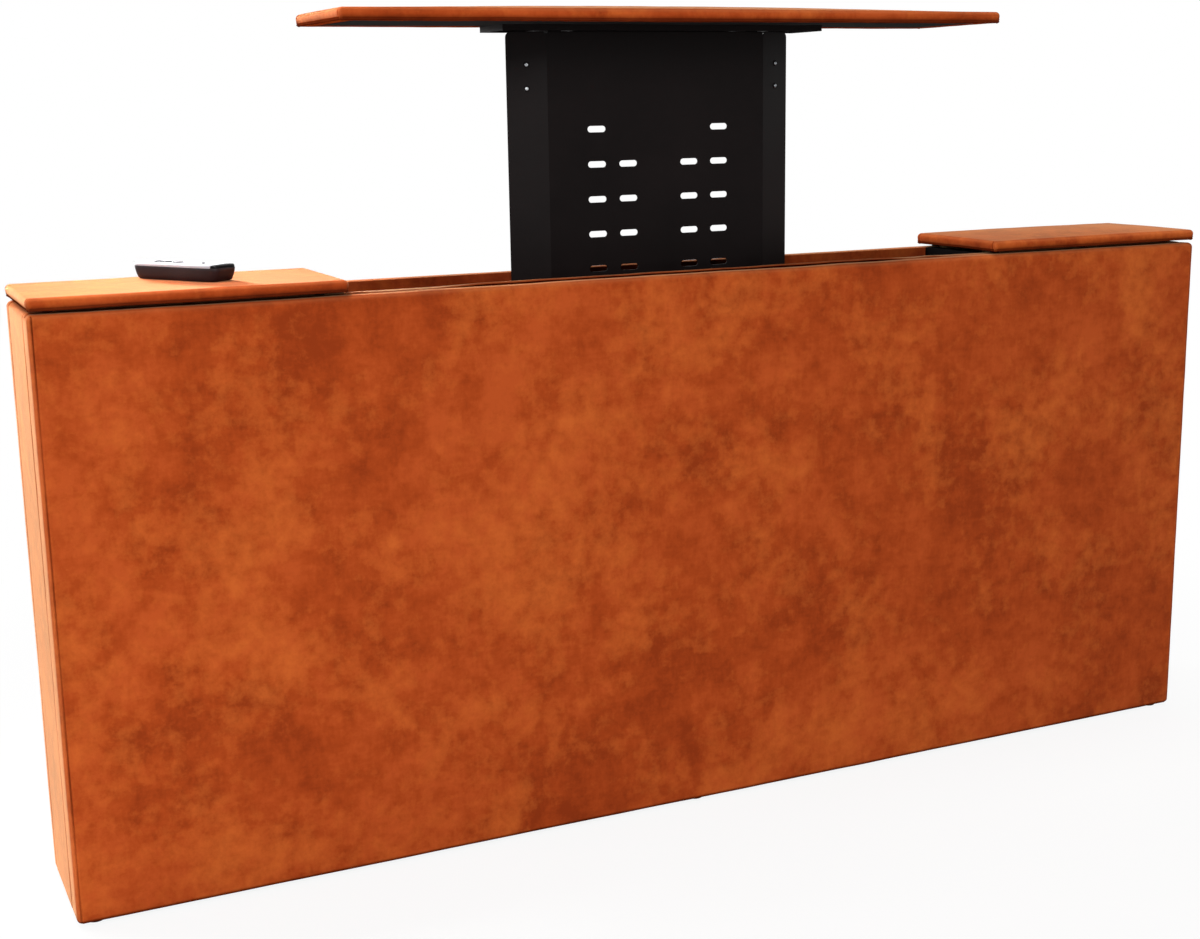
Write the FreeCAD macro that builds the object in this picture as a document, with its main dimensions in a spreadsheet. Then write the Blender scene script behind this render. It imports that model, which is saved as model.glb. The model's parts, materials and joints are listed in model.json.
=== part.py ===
"""TV lift cabinet: an upholstered case whose middle lid rises with the television plate of an electric lift.

The row frame is centred on the case: X along its length, Y from the front (-) to the back (+), Z up from
the floor. Lengths are in millimetres. Everything is drawn with the lift part way up.
"""

import FreeCAD
import Part
import Sketcher
import math
import os

from FreeCAD import Placement, Rotation, Vector

DOC = FreeCAD.newDocument("TvLiftCabinet")
SHEET = DOC.addObject("Spreadsheet::Sheet", "Dims")
NODES = []
X_AXIS, Y_AXIS, Z_AXIS = Vector(1, 0, 0), Vector(0, 1, 0), Vector(0, 0, 1)
LEFT, RIGHT = -1, 1
TINY = 1e-3


# ---------------------------------------------------------------- sizes and formulas


class Formula:
    """A value worked out from the sheet: the sheet's own formula text, and what it comes to now."""

    def __init__(self, text, value):
        self.text = text
        self.value = value

    def _with(self, sign, other, value):
        return Formula(f"({self.text} {sign} {formula(other).text})", value)

    def __add__(self, other):
        return self._with("+", other, self.value + formula(other).value)

    def __sub__(self, other):
        return self._with("-", other, self.value - formula(other).value)

    def __mul__(self, other):
        return self._with("*", other, self.value * formula(other).value)

    def __truediv__(self, other):
        return self._with("/", other, self.value / formula(other).value)

    def __radd__(self, other):
        return formula(other) + self

    def __rsub__(self, other):
        return formula(other) - self

    def __rmul__(self, other):
        return formula(other) * self

    def __neg__(self):
        return Formula(f"(-{self.text})", -self.value)


def formula(number):
    """A plain number as a formula; a formula as it is."""
    return number if isinstance(number, Formula) else Formula(f"({number})", number)


def sine(angle):
    return Formula(f"sin({angle.text} * 1 deg)", math.sin(math.radians(angle.value)))


def cosine(angle):
    return Formula(f"cos({angle.text} * 1 deg)", math.cos(math.radians(angle.value)))


def smaller(a, b):
    return Formula(f"min({a.text}; {b.text})", min(a.value, b.value))


def size(alias, number):
    """A driving dimension: one cell of the sheet, named by its alias."""
    size.row += 1
    SHEET.set(f"A{size.row}", alias)
    SHEET.set(f"B{size.row}", str(number))
    SHEET.setAlias(f"B{size.row}", alias)
    return Formula(f"Dims.{alias}", number)


size.row = 0

# The case, outside
case_width = size("case_width", 1840)
case_depth = size("case_depth", 208)
case_height = size("case_height", 800)
glide_height = size("glide_height", 5)
# What the walls are made of, from the outside in
skin = size("skin", 6)                      # foam and cover cloth over a board
board = size("board", 18)                   # carcass boards
frame_depth = size("frame_depth", 22)       # battens behind the front board
frame_width = size("frame_width", 44)
lining = size("lining", 3)                  # cloth-covered hardboard inside
cover_turn = size("cover_turn", 27)         # how far the front cover turns over the top edge
seam_gap = size("seam_gap", 4)              # open joint between that cover and the lining
batten = size("batten", 30)                 # square battens inside the end compartments
cleat_width = size("cleat_width", 20)
cleat_height = size("cleat_height", 30)
cleat_gap = size("cleat_gap", 10)           # at both ends of a cleat
# Lids
end_lid_width = size("end_lid_width", 404)
lid_joint = size("lid_joint", 2)            # clear joint between the middle lid and each end lid
lid_thickness = size("lid_thickness", 16)
lid_board = size("lid_board", 12)
lid_gap = size("lid_gap", 5)                # shadow gap under the lids
lid_edge = size("lid_edge", 3)              # cloth and thin foam round the edge of a lid
lid_hem = size("lid_hem", 1)                # cloth turned under a lid
hem_width = size("hem_width", 22)
buffer_radius = size("buffer_radius", 7)
buffer_inset = size("buffer_inset", 30)     # from a lid's ends
buffer_edge = size("buffer_edge", 9)        # from the inner edges of the walls' tops
glide_radius = size("glide_radius", 14)
glide_chamfer = size("glide_chamfer", 1.5)
glide_inset = size("glide_inset", 26)       # from the case's faces to the glides' centres
# The lift: how far it stands up here, and how far it goes
lid_raised = size("lid_raised", 343)        # of the middle lid above its seat
plate_width = size("plate_width", 352)      # flat part of the television plate
plate_height = size("plate_height", 409.5)
plate_thickness = size("plate_thickness", 2)
plate_drop = size("plate_drop", 8.5)        # plate's top edge below the middle lid
plate_corner = size("plate_corner", 8)
fold_notch = size("fold_notch", 3)          # radius of the relief at each end of a fold
wing_length = size("wing_length", 58)
wing_angle = size("wing_angle", 23)
slot_length = size("slot_length", 29)
slot_width = size("slot_width", 9)
slot_pitch = size("slot_pitch", 50)         # rows, and half the columns' spacing
slot_rows = size("slot_rows", 5)
first_row = size("first_row", 136.5)        # below the plate's top edge
bar_thickness = size("bar_thickness", 5)    # carriage crossbars
bar_height = size("bar_height", 40)
bar_gap = size("bar_gap", 2.5)              # from the crossbars back to the slides, or to the tube
bar_inset = size("bar_inset", 26)           # middle of a crossbar from the end of what it crosses
back_bar = size("back_bar", 4)              # flat bars that hold the lift to the back wall
back_bar_height = size("back_bar_height", 40)
back_bar_low = size("back_bar_low", 107)    # middle of the lower bar above the base plate
back_bar_drop = size("back_bar_drop", 62)   # middle of the upper bar below the uprights' tops
back_screw_side = size("back_screw_side", 110)
wing_screw_drop = size("wing_screw_drop", 45.5)
wing_screw_pitch = size("wing_screw_pitch", 33)
bracket_wall = size("bracket_wall", 3)
bracket_margin = size("bracket_margin", 11) # bracket above and below its screws, and its flange
bracket_short = size("bracket_short", 8)    # bracket's outer edge inside the wing's
slide_depth = size("slide_depth", 40)       # telescopic slides, across their flanges
slide_wall = size("slide_wall", 1.5)
slide_space = size("slide_space", 3)        # between the flanges of one member and the next
slide_margin = size("slide_margin", 10)     # from the uprights' tops to the fixed members' tops
slide_foot = size("slide_foot", 7)          # fixed members above the base plate
slide_shim = size("slide_shim", 0.5)        # between the fixed members and the back bars
slide_flange = size("slide_flange", 9)      # of the middle and inner members
outer_flange = size("outer_flange", 13)
slide_spread = size("slide_spread", 10.5)   # between the webs of the inner and middle members
liner_width = size("liner_width", 7)
liner_inset = size("liner_inset", 1)        # between a liner's edge and the web beside it
slide_liner = size("slide_liner", 2.7)      # plastic glide strips in those spaces
post_width = size("post_width", 20)         # carriage posts, across
post_depth = size("post_depth", 35)
post_wall = size("post_wall", 2)
post_foot = size("post_foot", 40)           # how much longer the posts are than the inner members
post_inner = size("post_inner", 150)        # inner faces of the carriage posts from the middle
upright_width = size("upright_width", 30)   # fixed uprights
upright_depth = size("upright_depth", 25)
upright_wall = size("upright_wall", 2.5)
upright_headroom = size("upright_headroom", 100)
base_plate = size("base_plate", 4)
base_plate_width = size("base_plate_width", 470)
base_plate_depth = size("base_plate_depth", 116)
base_screw_inset = size("base_screw_inset", 13)
base_screw_back = size("base_screw_back", 60)
tray_width = size("tray_width", 512)        # steel tray that carries the middle lid
tray_depth = size("tray_depth", 86)
tray_height = size("tray_height", 9)
tray_wall = size("tray_wall", 2)
tray_plate = size("tray_plate", 2.5)
tray_gap = size("tray_gap", 3)              # between the tray and the back lining
tray_screw_inset = size("tray_screw_inset", 16)
tray_screw_end = size("tray_screw_end", 24)
tray_bolt_side = size("tray_bolt_side", 21) # bolts either side of a post's middle
cap_thickness = size("cap_thickness", 5)    # plates on the carriage posts that carry the tray
cap_width = size("cap_width", 60)
tie_thickness = size("tie_thickness", 2.5)
tie_height = size("tie_height", 22)
tie_drop = size("tie_drop", 18)             # below the middle members' tops
clearance = size("clearance", 0.3)
# Spindle drive
tube_gap = size("tube_gap", 2)              # from the tube back to the middle stage's tie bar
tube_radius = size("tube_radius", 16)
tube_wall = size("tube_wall", 3)
tube_headroom = size("tube_headroom", 68)
wiper_height = size("wiper_height", 12)
rod_radius = size("rod_radius", 10)
rod_wall = size("rod_wall", 3)
rod_pin_drop = size("rod_pin_drop", 30)     # pin of the rod's eye below the posts' tops
spindle_radius = size("spindle_radius", 6)
spindle_margin = size("spindle_margin", 12) # spindle's end below the tube's, and its seat in the gearbox
nut_length = size("nut_length", 25)
nut_margin = size("nut_margin", 3)          # nut above the gearbox with the lid down
gearbox_height = size("gearbox_height", 37)
gearbox_depth = size("gearbox_depth", 36)
gearbox_corner = size("gearbox_corner", 10)
gearbox_rim = size("gearbox_rim", 4)        # housing outside the tube and the motor
gearbox_lift = size("gearbox_lift", 10)     # housing above its pin
motor_radius = size("motor_radius", 17)
motor_length = size("motor_length", 120)
motor_offset = size("motor_offset", 44)     # motor axis beside the spindle
motor_cap = size("motor_cap", 8)
motor_step = size("motor_step", 4)
eye_radius = size("eye_radius", 8)
eye_width = size("eye_width", 19)
ear_thickness = size("ear_thickness", 4)
ear_reach = size("ear_reach", 10)           # ears beyond their pin
rod_neck = size("rod_neck", 14)             # pin above the rod's end
rod_plug = size("rod_plug", 20)
pin_radius = size("pin_radius", 4)
pin_head = size("pin_head", 2)
pin_clip = size("pin_clip", 1.2)
pin_tail = size("pin_tail", 3)
pin_fit = size("pin_fit", 0.05)             # radial clearance of pins and the spindle
foot_pin_height = size("foot_pin_height", 12)
# Control box, cable and cable outlet
control_width = size("control_width", 160)
control_depth = size("control_depth", 38)
control_height = size("control_height", 110)
control_wall = size("control_wall", 2.5)
control_gap = size("control_gap", 40)       # between it and the partition
control_low = size("control_low", 120)      # its underside above the floor
control_entry = size("control_entry", 60)   # cable's entry from its near side
control_rim = size("control_rim", 6)
control_board = size("control_board", 8)    # circuit board with its parts
cable_radius = size("cable_radius", 3)
notch_size = size("notch_size", 12)         # notch for the cable in the partition's foot
outlet_radius = size("outlet_radius", 17)
outlet_wall = size("outlet_wall", 3)
outlet_flange = size("outlet_flange", 25)
outlet_inset = size("outlet_inset", 42)     # its centre from the partition
outlet_height = size("outlet_height", 110)
# Screws
screw_radius = size("screw_radius", 2.5)
screw_head = size("screw_head", 4.5)
screw_head_height = size("screw_head_height", 2.5)
screw_length = size("screw_length", 14)
wing_screw_length = size("wing_screw_length", 8)
# Remote control
remote_length = size("remote_length", 150)
remote_width = size("remote_width", 45)
remote_height = size("remote_height", 22)
remote_face = size("remote_face", 4)        # upper shell
remote_wall = size("remote_wall", 2)
remote_taper = size("remote_taper", 6)      # how much each end draws in towards the underside
remote_across = size("remote_across", 700)  # its middle, left of the case's middle
remote_back = size("remote_back", 30)       # and behind it
remote_turn = size("remote_turn", -56)
key_radius = size("key_radius", 6)
key_flange = size("key_flange", 1)          # rim that keeps a key under the face
key_travel = size("key_travel", 0.8)
key_proud = size("key_proud", 1.2)
key_pitch = size("key_pitch", 18)
key_middle = size("key_middle", 28)         # stop key from the handset's middle
circuit_thickness = size("circuit_thickness", 1.6)
circuit_drop = size("circuit_drop", 2)      # circuit board under the face
cell_radius = size("cell_radius", 5.2)
cell_length = size("cell_length", 44)
cell_start = size("cell_start", 10)
cell_side = size("cell_side", 6)            # cells' axes either side of the middle
door_start = size("door_start", 8)
door_rim = size("door_rim", 6)

# Places worked out from those sizes
half_width = case_width / 2
front_face = -case_depth / 2
back_face = case_depth / 2
board_front = front_face + skin
frame_front = board_front + board
frame_back = frame_front + frame_depth
bay_front = frame_back + lining
board_back = back_face - skin
board_inside = board_back - board
bay_back = board_inside - lining
board_bottom = glide_height + skin
board_top = case_height - skin
floor_top = board_bottom + board
board_half = half_width - skin              # outer faces of the end boards
room_half = board_half - board              # inner faces of the end boards
bay_half = half_width - end_lid_width       # half the length of the television bay
lid_seat = case_height + lid_gap
mid_lid_low = lid_seat + lid_raised
tray_low = mid_lid_low - tray_height
plate_top = mid_lid_low - plate_drop
plate_low = plate_top - plate_height
plate_half = plate_width / 2
post_outer = post_inner + post_width
post_top = mid_lid_low - tray_plate - cap_thickness
lift_floor = floor_top + base_plate
upright_top = case_height - upright_headroom
fixed_slide = (lift_floor + slide_foot, upright_top - slide_margin)
slide_length = fixed_slide[1] - fixed_slide[0] - slide_margin
post_low = post_top - slide_length - post_foot
upright_back = bay_back - back_bar
slide_middle = upright_back - slide_shim - slide_depth / 2
member_step = slide_space + slide_wall
drive_y = slide_middle + slide_depth / 2 - member_step - tube_gap - tube_radius
bar_back = smaller(slide_middle - slide_depth / 2, drive_y - tube_radius) - bar_gap
plate_back = bar_back - bar_thickness
plate_front = plate_back - plate_thickness
foot_pin_z = lift_floor + foot_pin_height
gearbox_low = foot_pin_z + gearbox_lift
tube_low = gearbox_low + gearbox_height
tube_top = case_height - tube_headroom
nut_low = tube_low + nut_margin + lid_raised
rod_pin_z = post_top - rod_pin_drop
rod_top = rod_pin_z - rod_neck
outlet_x = -(bay_half - outlet_inset)
control_x = (-(bay_half + board + control_gap + control_width), -(bay_half + board + control_gap))


# ---------------------------------------------------------------- shape helpers


def bind(thing, path, value):
    thing.setExpression(path, formula(value).text)


def node(thing):
    """Marks a shape as a finished sub-part, which gets a file of its own."""
    NODES.append(thing)
    return thing


def box(label, x, y, z):
    """A block that spans x, y and z, each a (low, high) pair."""
    made = DOC.addObject("Part::Box", label)
    made.Label = label
    for side, axis, (low, high) in zip(("Length", "Width", "Height"), "xyz", (x, y, z)):
        bind(made, side, high - low)
        bind(made, f"Placement.Base.{axis}", low)
    return made


def rod(label, axis, centre, span, radius):
    """A cylinder along X, Y or Z. centre is its place on the other two axes, in X, Y, Z order."""
    turns = {"x": Rotation(Y_AXIS, 90), "y": Rotation(X_AXIS, -90), "z": Rotation()}
    made = DOC.addObject("Part::Cylinder", label)
    made.Label = label
    made.Placement = Placement(Vector(), turns[axis])
    bind(made, "Radius", radius)
    bind(made, "Height", span[1] - span[0])
    places = dict(zip([a for a in "xyz" if a != axis], centre))
    places[axis] = span[0]
    for name, value in places.items():
        bind(made, f"Placement.Base.{name}", value)
    return made


def cut(label, base, *tools):
    made = DOC.addObject("Part::Cut", label)
    made.Label = label
    made.Base = base
    made.Tool = tools[0] if len(tools) == 1 else join(f"{label}_tools", *tools)
    return made


def join(label, *pieces):
    made = DOC.addObject("Part::MultiFuse", label)
    made.Label = label
    made.Shapes = list(pieces)
    return made


def group(label, pieces):
    """Separate solids that share one node."""
    made = DOC.addObject("Part::Compound", label)
    made.Label = label
    made.Links = list(pieces)
    return made


def body(label):
    made = DOC.addObject("PartDesign::Body", label)
    made.Label = label
    return made


def sketch(owner, plane, at, loops):
    """A sketch on one of the body's own planes, moved to `at` along that plane's axis.
    A loop is a list of corners, or a round hole ("circle", u, v, radius)."""
    role = {"xy": "XY_Plane", "xz": "XZ_Plane", "yz": "YZ_Plane"}[plane]
    made = owner.newObject("Sketcher::SketchObject", f"{owner.Label}_sketch")
    origin = next(f for f in owner.Origin.OriginFeatures if f.Role == role)
    made.AttachmentSupport = [(origin, "")]
    made.MapMode = "FlatFace"
    bind(made, "AttachmentOffset.Base.z", -at if plane == "xz" else at)
    for loop in loops:
        if loop[0] == "circle":
            add_circle(made, *loop[1:])
        elif loop[0] == "slot":
            add_slot(made, *loop[1:])
        else:
            add_outline(made, loop)
    return made


def pin_point(made, geometry, point, u, v):
    """Holds a point of a sketch at (u, v) by two dimensions from the sketch's origin."""
    for kind, value in (("DistanceX", u), ("DistanceY", v)):
        value = formula(value)
        index = made.addConstraint(
            Sketcher.Constraint(kind, -1, 1, geometry, point, value.value)
        )
        bind(made, f"Constraints[{index}]", value)


def add_outline(made, corners):
    """A closed outline of straight lines through the corners."""
    places = [Vector(formula(u).value, formula(v).value, 0) for u, v in corners]
    count = len(corners)
    first = made.GeometryCount
    for i in range(count):
        made.addGeometry(Part.LineSegment(places[i], places[(i + 1) % count]), False)
    for i in range(count):
        after = first + (i + 1) % count
        made.addConstraint(Sketcher.Constraint("Coincident", first + i, 2, after, 1))
        pin_point(made, first + i, 1, *corners[i])


def add_circle(made, u, v, radius):
    u, v, radius = formula(u), formula(v), formula(radius)
    centre = Vector(u.value, v.value, 0)
    ring = made.addGeometry(Part.Circle(centre, Vector(0, 0, 1), radius.value), False)
    pin_point(made, ring, 3, u, v)
    index = made.addConstraint(Sketcher.Constraint("Radius", ring, radius.value))
    bind(made, f"Constraints[{index}]", radius)


def add_slot(made, u, v, length, width):
    """A slot with round ends along the sketch's first axis."""
    u, v, length, width = (formula(n) for n in (u, v, length, width))
    r, reach = width.value / 2, (length.value - width.value) / 2
    left, right = Vector(u.value - reach, v.value, 0), Vector(u.value + reach, v.value, 0)
    up = Vector(0, r, 0)
    half_turn = math.pi / 2
    ends = [
        Part.ArcOfCircle(Part.Circle(left, Z_AXIS, r), half_turn, 3 * half_turn),
        Part.ArcOfCircle(Part.Circle(right, Z_AXIS, r), -half_turn, half_turn),
    ]
    sides = [Part.LineSegment(left - up, right - up), Part.LineSegment(right + up, left + up)]
    one, other, low, high = (made.addGeometry(g, False) for g in ends + sides)
    for arc, arc_end, line, line_end in (
        (one, 2, low, 1),
        (low, 2, other, 1),
        (other, 2, high, 1),
        (high, 2, one, 1),
    ):
        made.addConstraint(Sketcher.Constraint("Tangent", arc, arc_end, line, line_end))
    made.addConstraint(Sketcher.Constraint("Horizontal", low))
    made.addConstraint(Sketcher.Constraint("Equal", one, other))
    pin_point(made, one, 3, u - (length - width) / 2, v)
    for kind, ends, value in (
        ("DistanceX", (one, 3, other, 3), length - width),
        ("Radius", (one,), width / 2),
    ):
        index = made.addConstraint(Sketcher.Constraint(kind, *ends, value.value))
        bind(made, f"Constraints[{index}]", value)


def rectangle(u, v):
    return [(u[0], v[0]), (u[1], v[0]), (u[1], v[1]), (u[0], v[1])]


def grow(owner, kind, plane, span, loops):
    """A Pad or Pocket of the loops between span's two values along the plane's axis."""
    low, high = span
    start = high if plane == "xz" else low
    profile = sketch(owner, plane, start, loops)
    made = owner.newObject(f"PartDesign::{kind}", f"{owner.Label}_{kind.lower()}")
    made.Profile = profile
    bind(made, "Length", high - low)
    made.Reversed = kind == "Pocket"
    return made


def pad(owner, plane, span, *loops):
    return grow(owner, "Pad", plane, span, loops)


def pocket(owner, plane, span, *loops):
    """Cuts the loops out between span's two values."""
    before = volume_of(owner)
    made = grow(owner, "Pocket", plane, span, loops)
    if volume_of(owner) >= before:
        raise RuntimeError(f"a pocket of {owner.Label} cuts nothing")
    return made


def round_off(owner, chosen, radius):
    """Rounds those edges of a body for which chosen(edge) holds."""
    DOC.recompute()
    edges = [f"Edge{n}" for n, edge in enumerate(owner.Shape.Edges, 1) if chosen(edge)]
    base = owner.Tip
    made = owner.newObject("PartDesign::Fillet", f"{owner.Label}_fillet")
    made.Base = (base, edges)
    bind(made, "Radius", radius)


def volume_of(owner):
    DOC.recompute()
    return owner.Shape.Volume


def channel(side, web, lip, half_depth, wall, middle):
    """Corners of a C section seen from above. web and lip are distances from the case's middle line."""
    inward = 1 if lip.value > web.value else -1
    inner = web + inward * wall
    low, high = middle - half_depth, middle + half_depth
    corners = [(web, low), (lip, low), (lip, low + wall), (inner, low + wall)]
    corners += [(inner, high - wall), (lip, high - wall), (lip, high), (web, high)]
    return [(side * u, v) for u, v in corners]


def mirrored(side, low, high):
    """The span from low to high on the right-hand side, or its mirror on the left."""
    return (low, high) if side == RIGHT else (-high, -low)


def hand(side):
    return "left" if side == LEFT else "right"


def screw(label, length=screw_length):
    """A pan-head screw along Z: its head stands on the origin and its shank goes down."""
    head = rod(f"{label}_head", "z", (0, 0), (formula(0), screw_head_height), screw_head)
    shank = rod(f"{label}_shank", "z", (0, 0), (-length, formula(0)), screw_radius)
    made = join(label, head, shank)
    made.Refine = True
    return made


def put(thing, x, y, z, turn=None):
    """Stands a finished shape at a place, turned if need be."""
    thing.Placement = Placement(Vector(), turn or Rotation())
    for axis, value in zip("xyz", (x, y, z)):
        bind(thing, f"Placement.Base.{axis}", value)
    return thing


# ---------------------------------------------------------------- the case


def outlet_hole(label, y):
    return rod(label, "y", (outlet_x, outlet_height), y, outlet_radius + outlet_wall)


def make_front_wall():
    board_x = (-board_half, board_half)
    board_z = (board_bottom, board_top)
    node(box("front_board", board_x, (board_front, frame_front), board_z))
    rail_top = board_bottom + frame_width
    y = (frame_front, frame_back)
    rails = [
        box("front_bottom_rail", board_x, y, (board_bottom, rail_top)),
        box("front_top_rail", board_x, y, (board_top - frame_width, board_top)),
    ]
    inner = board_half - frame_width
    stile_z = (rail_top, board_top - frame_width)
    for side in (LEFT, RIGHT):
        rails.append(box(f"{hand(side)}_end_stile", mirrored(side, inner, board_half), y, stile_z))
        bay = mirrored(side, bay_half, bay_half + frame_width)
        rails.append(box(f"{hand(side)}_bay_stile", bay, y, stile_z))
    node(group("front_frame", rails))

    x = (-half_width, half_width)
    z = (glide_height, case_height)
    blank = box("front_cover_blank", x, (front_face, frame_back), z)
    hollow = box("front_cover_hollow", board_x, (board_front, frame_back), board_z)
    turn_edge = (front_face + cover_turn, frame_back)
    turn = box("front_cover_turn", board_x, turn_edge, (board_top, case_height))
    node(cut("front_cover", blank, hollow, turn))

    inside = body("front_lining")
    lip = front_face + cover_turn + seam_gap
    profile = [
        (bay_front, floor_top),
        (bay_front, case_height),
        (lip, case_height),
        (lip, board_top),
        (frame_back, board_top),
        (frame_back, floor_top),
    ]
    pad(inside, "yz", (-room_half, room_half), profile)
    node(inside)


def make_back_wall():
    board_x = (-board_half, board_half)
    board_z = (board_bottom, board_top)
    panel = box("back_panel", board_x, (board_inside, board_back), board_z)
    holes = [outlet_hole("back_board_outlet", (board_inside, board_back))]
    pilot = (board_inside, upright_back + screw_length)
    for i, place in enumerate(back_bar_screws()):
        holes.append(rod(f"back_board_pilot_{i}", "y", place, pilot, screw_radius))
    node(cut("back_board", panel, *holes))

    x = (-half_width, half_width)
    blank = box("back_cover_blank", x, (board_inside, back_face), (glide_height, case_height))
    hollow = box("back_cover_hollow", board_x, (board_inside, board_back), board_z)
    centre = (outlet_x, outlet_height)
    flange = rod("back_cover_outlet", "y", centre, (board_back, back_face), outlet_flange)
    node(cut("back_cover", blank, hollow, flange))

    y = (bay_back, board_inside)
    sheet = box("back_lining_sheet", (-room_half, room_half), y, (floor_top, case_height))
    holes = [outlet_hole("back_lining_outlet", y)]
    for i, place in enumerate(back_bar_screws()):
        holes.append(rod(f"back_lining_hole_{i}", "y", place, y, screw_radius))
    node(cut("back_lining", sheet, *holes))


def make_ends():
    y = (frame_back, board_inside)
    boards = []
    for side in (LEFT, RIGHT):
        x = mirrored(side, room_half, board_half)
        boards.append(box(f"{hand(side)}_end_board", x, y, (board_bottom, board_top)))
        cover = body(f"{hand(side)}_end_cover")
        corners = [
            (room_half, glide_height),
            (half_width, glide_height),
            (half_width, case_height),
            (room_half, case_height),
            (room_half, board_top),
            (board_half, board_top),
            (board_half, board_bottom),
            (room_half, board_bottom),
        ]
        pad(cover, "xz", y, [(side * u, v) for u, v in corners])
        node(cover)
    node(group("end_boards", boards))


def make_floor_and_partitions():
    room = (-room_half, room_half)
    panel = box("base_panel", room, (frame_back, board_inside), (board_bottom, floor_top))
    pilots = [
        rod(f"base_board_pilot_{i}", "z", place, (floor_top - screw_length, floor_top), screw_radius)
        for i, place in enumerate(base_screws())
    ]
    node(cut("base_board", panel, *pilots))
    partitions = []
    for side in (LEFT, RIGHT):
        x = mirrored(side, bay_half, bay_half + board)
        panel = box(f"{hand(side)}_partition", x, (bay_front, bay_back), (floor_top, case_height))
        if side == LEFT:
            notch = box("cable_notch", x, *cable_notch())
            panel = cut("notched_partition", panel, notch)
        partitions.append(panel)
    node(group("partitions", partitions))
    battens = []
    front, back = (bay_front, bay_front + batten), (bay_back - batten, bay_back)
    cleat_front, cleat_back = (bay_front, bay_front + cleat_width), (bay_back - cleat_width, bay_back)
    z = (floor_top, case_height - cleat_height)
    cleat_z = (case_height - cleat_height, lid_seat)
    for side in (LEFT, RIGHT):
        name = hand(side)
        corner = mirrored(side, room_half - batten, room_half)
        under_lid = mirrored(side, bay_half + board + cleat_gap, room_half - cleat_gap)
        battens.append(box(f"{name}_front_batten", corner, front, z))
        battens.append(box(f"{name}_back_batten", corner, back, z))
        battens.append(box(f"{name}_front_cleat", under_lid, cleat_front, cleat_z))
        battens.append(box(f"{name}_back_cleat", under_lid, cleat_back, cleat_z))
    node(group("end_battens", battens))


def make_glides():
    """Six plastic glides with chamfered rims, tacked under the front and back walls."""
    glides = []
    for i, x in enumerate((-(half_width - glide_inset), formula(0), half_width - glide_inset)):
        for j, y in enumerate((front_face + glide_inset, back_face - glide_inset)):
            disc = rod(f"glide_disc_{i}_{j}", "z", (x, y), (formula(0), glide_height), glide_radius)
            rim = DOC.addObject("Part::Chamfer", f"glide_{i}_{j}")
            rim.Base = disc
            DOC.recompute()
            reach = glide_chamfer.value
            low = [n for n, edge in enumerate(disc.Shape.Edges, 1) if abs(edge.CenterOfMass.z) < TINY]
            rim.Edges = [(n, reach, reach) for n in low]
            glides.append(rim)
    node(group("glides", glides))


# ---------------------------------------------------------------- the lids


def make_lid(name, x, low, screw_places=()):
    """An upholstered lid: board, cover turned under at the edge, and the black cloth that closes it below."""
    y = (front_face, back_face)
    inner_x = (x[0] + lid_edge, x[1] - lid_edge)
    inner_y = (y[0] + lid_edge, y[1] - lid_edge)
    cloth_x = (x[0] + hem_width, x[1] - hem_width)
    cloth_y = (y[0] + hem_width, y[1] - hem_width)
    board_z = (low + lid_hem, low + lid_hem + lid_board)
    hem_z = (low, low + lid_hem)
    blank = box(f"{name}_cover_blank", x, y, (low, low + lid_thickness))
    hollow = box(f"{name}_cover_hollow", inner_x, inner_y, board_z)
    window = box(f"{name}_cover_window", cloth_x, cloth_y, hem_z)
    node(cut(f"{name}_cover", blank, hollow, window))
    panel = box(f"{name}_panel", inner_x, inner_y, board_z)
    cloth = box(f"{name}_cloth", cloth_x, cloth_y, hem_z)
    if not screw_places:
        return panel, cloth
    pilots, holes = [], []
    for i, place in enumerate(screw_places):
        tip = low - tray_plate + screw_length
        pilots.append(rod(f"{name}_pilot_{i}", "z", place, (board_z[0], tip), screw_radius))
        holes.append(rod(f"{name}_cloth_hole_{i}", "z", place, hem_z, screw_radius))
    return cut(f"{name}_board", panel, *pilots), cut(f"{name}_underside", cloth, *holes)


def make_end_lids():
    boards, linings, buffers = [], [], []
    for side in (LEFT, RIGHT):
        name = f"{hand(side)}_lid"
        panel, cloth = make_lid(name, mirrored(side, bay_half, half_width), lid_seat)
        boards.append(panel)
        linings.append(cloth)
        insets = (buffer_inset, end_lid_width / 2, end_lid_width - buffer_inset)
        for i, inset in enumerate(insets):
            for j, y in enumerate((bay_front - buffer_edge, board_back - buffer_edge)):
                place = (side * (bay_half + inset), y)
                label = f"{name}_buffer_{i}_{j}"
                buffers.append(rod(label, "z", place, (case_height, lid_seat), buffer_radius))
    node(group("end_lid_boards", boards))
    node(group("end_lid_undersides", linings))
    node(group("lid_buffers", buffers))


# ---------------------------------------------------------------- the lift, fixed part


def base_screws():
    front, back = bay_back - base_plate_depth + base_screw_inset, bay_back - base_screw_back
    reach = base_plate_width / 2 - base_screw_inset
    return [(-reach, front), (reach, front), (-reach, back), (reach, back)]


def back_bar_screws():
    return [(x, z) for z in back_bar_heights() for x in (-back_screw_side, back_screw_side)]


def back_bar_heights():
    return (lift_floor + back_bar_low, upright_top - back_bar_drop)


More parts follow.
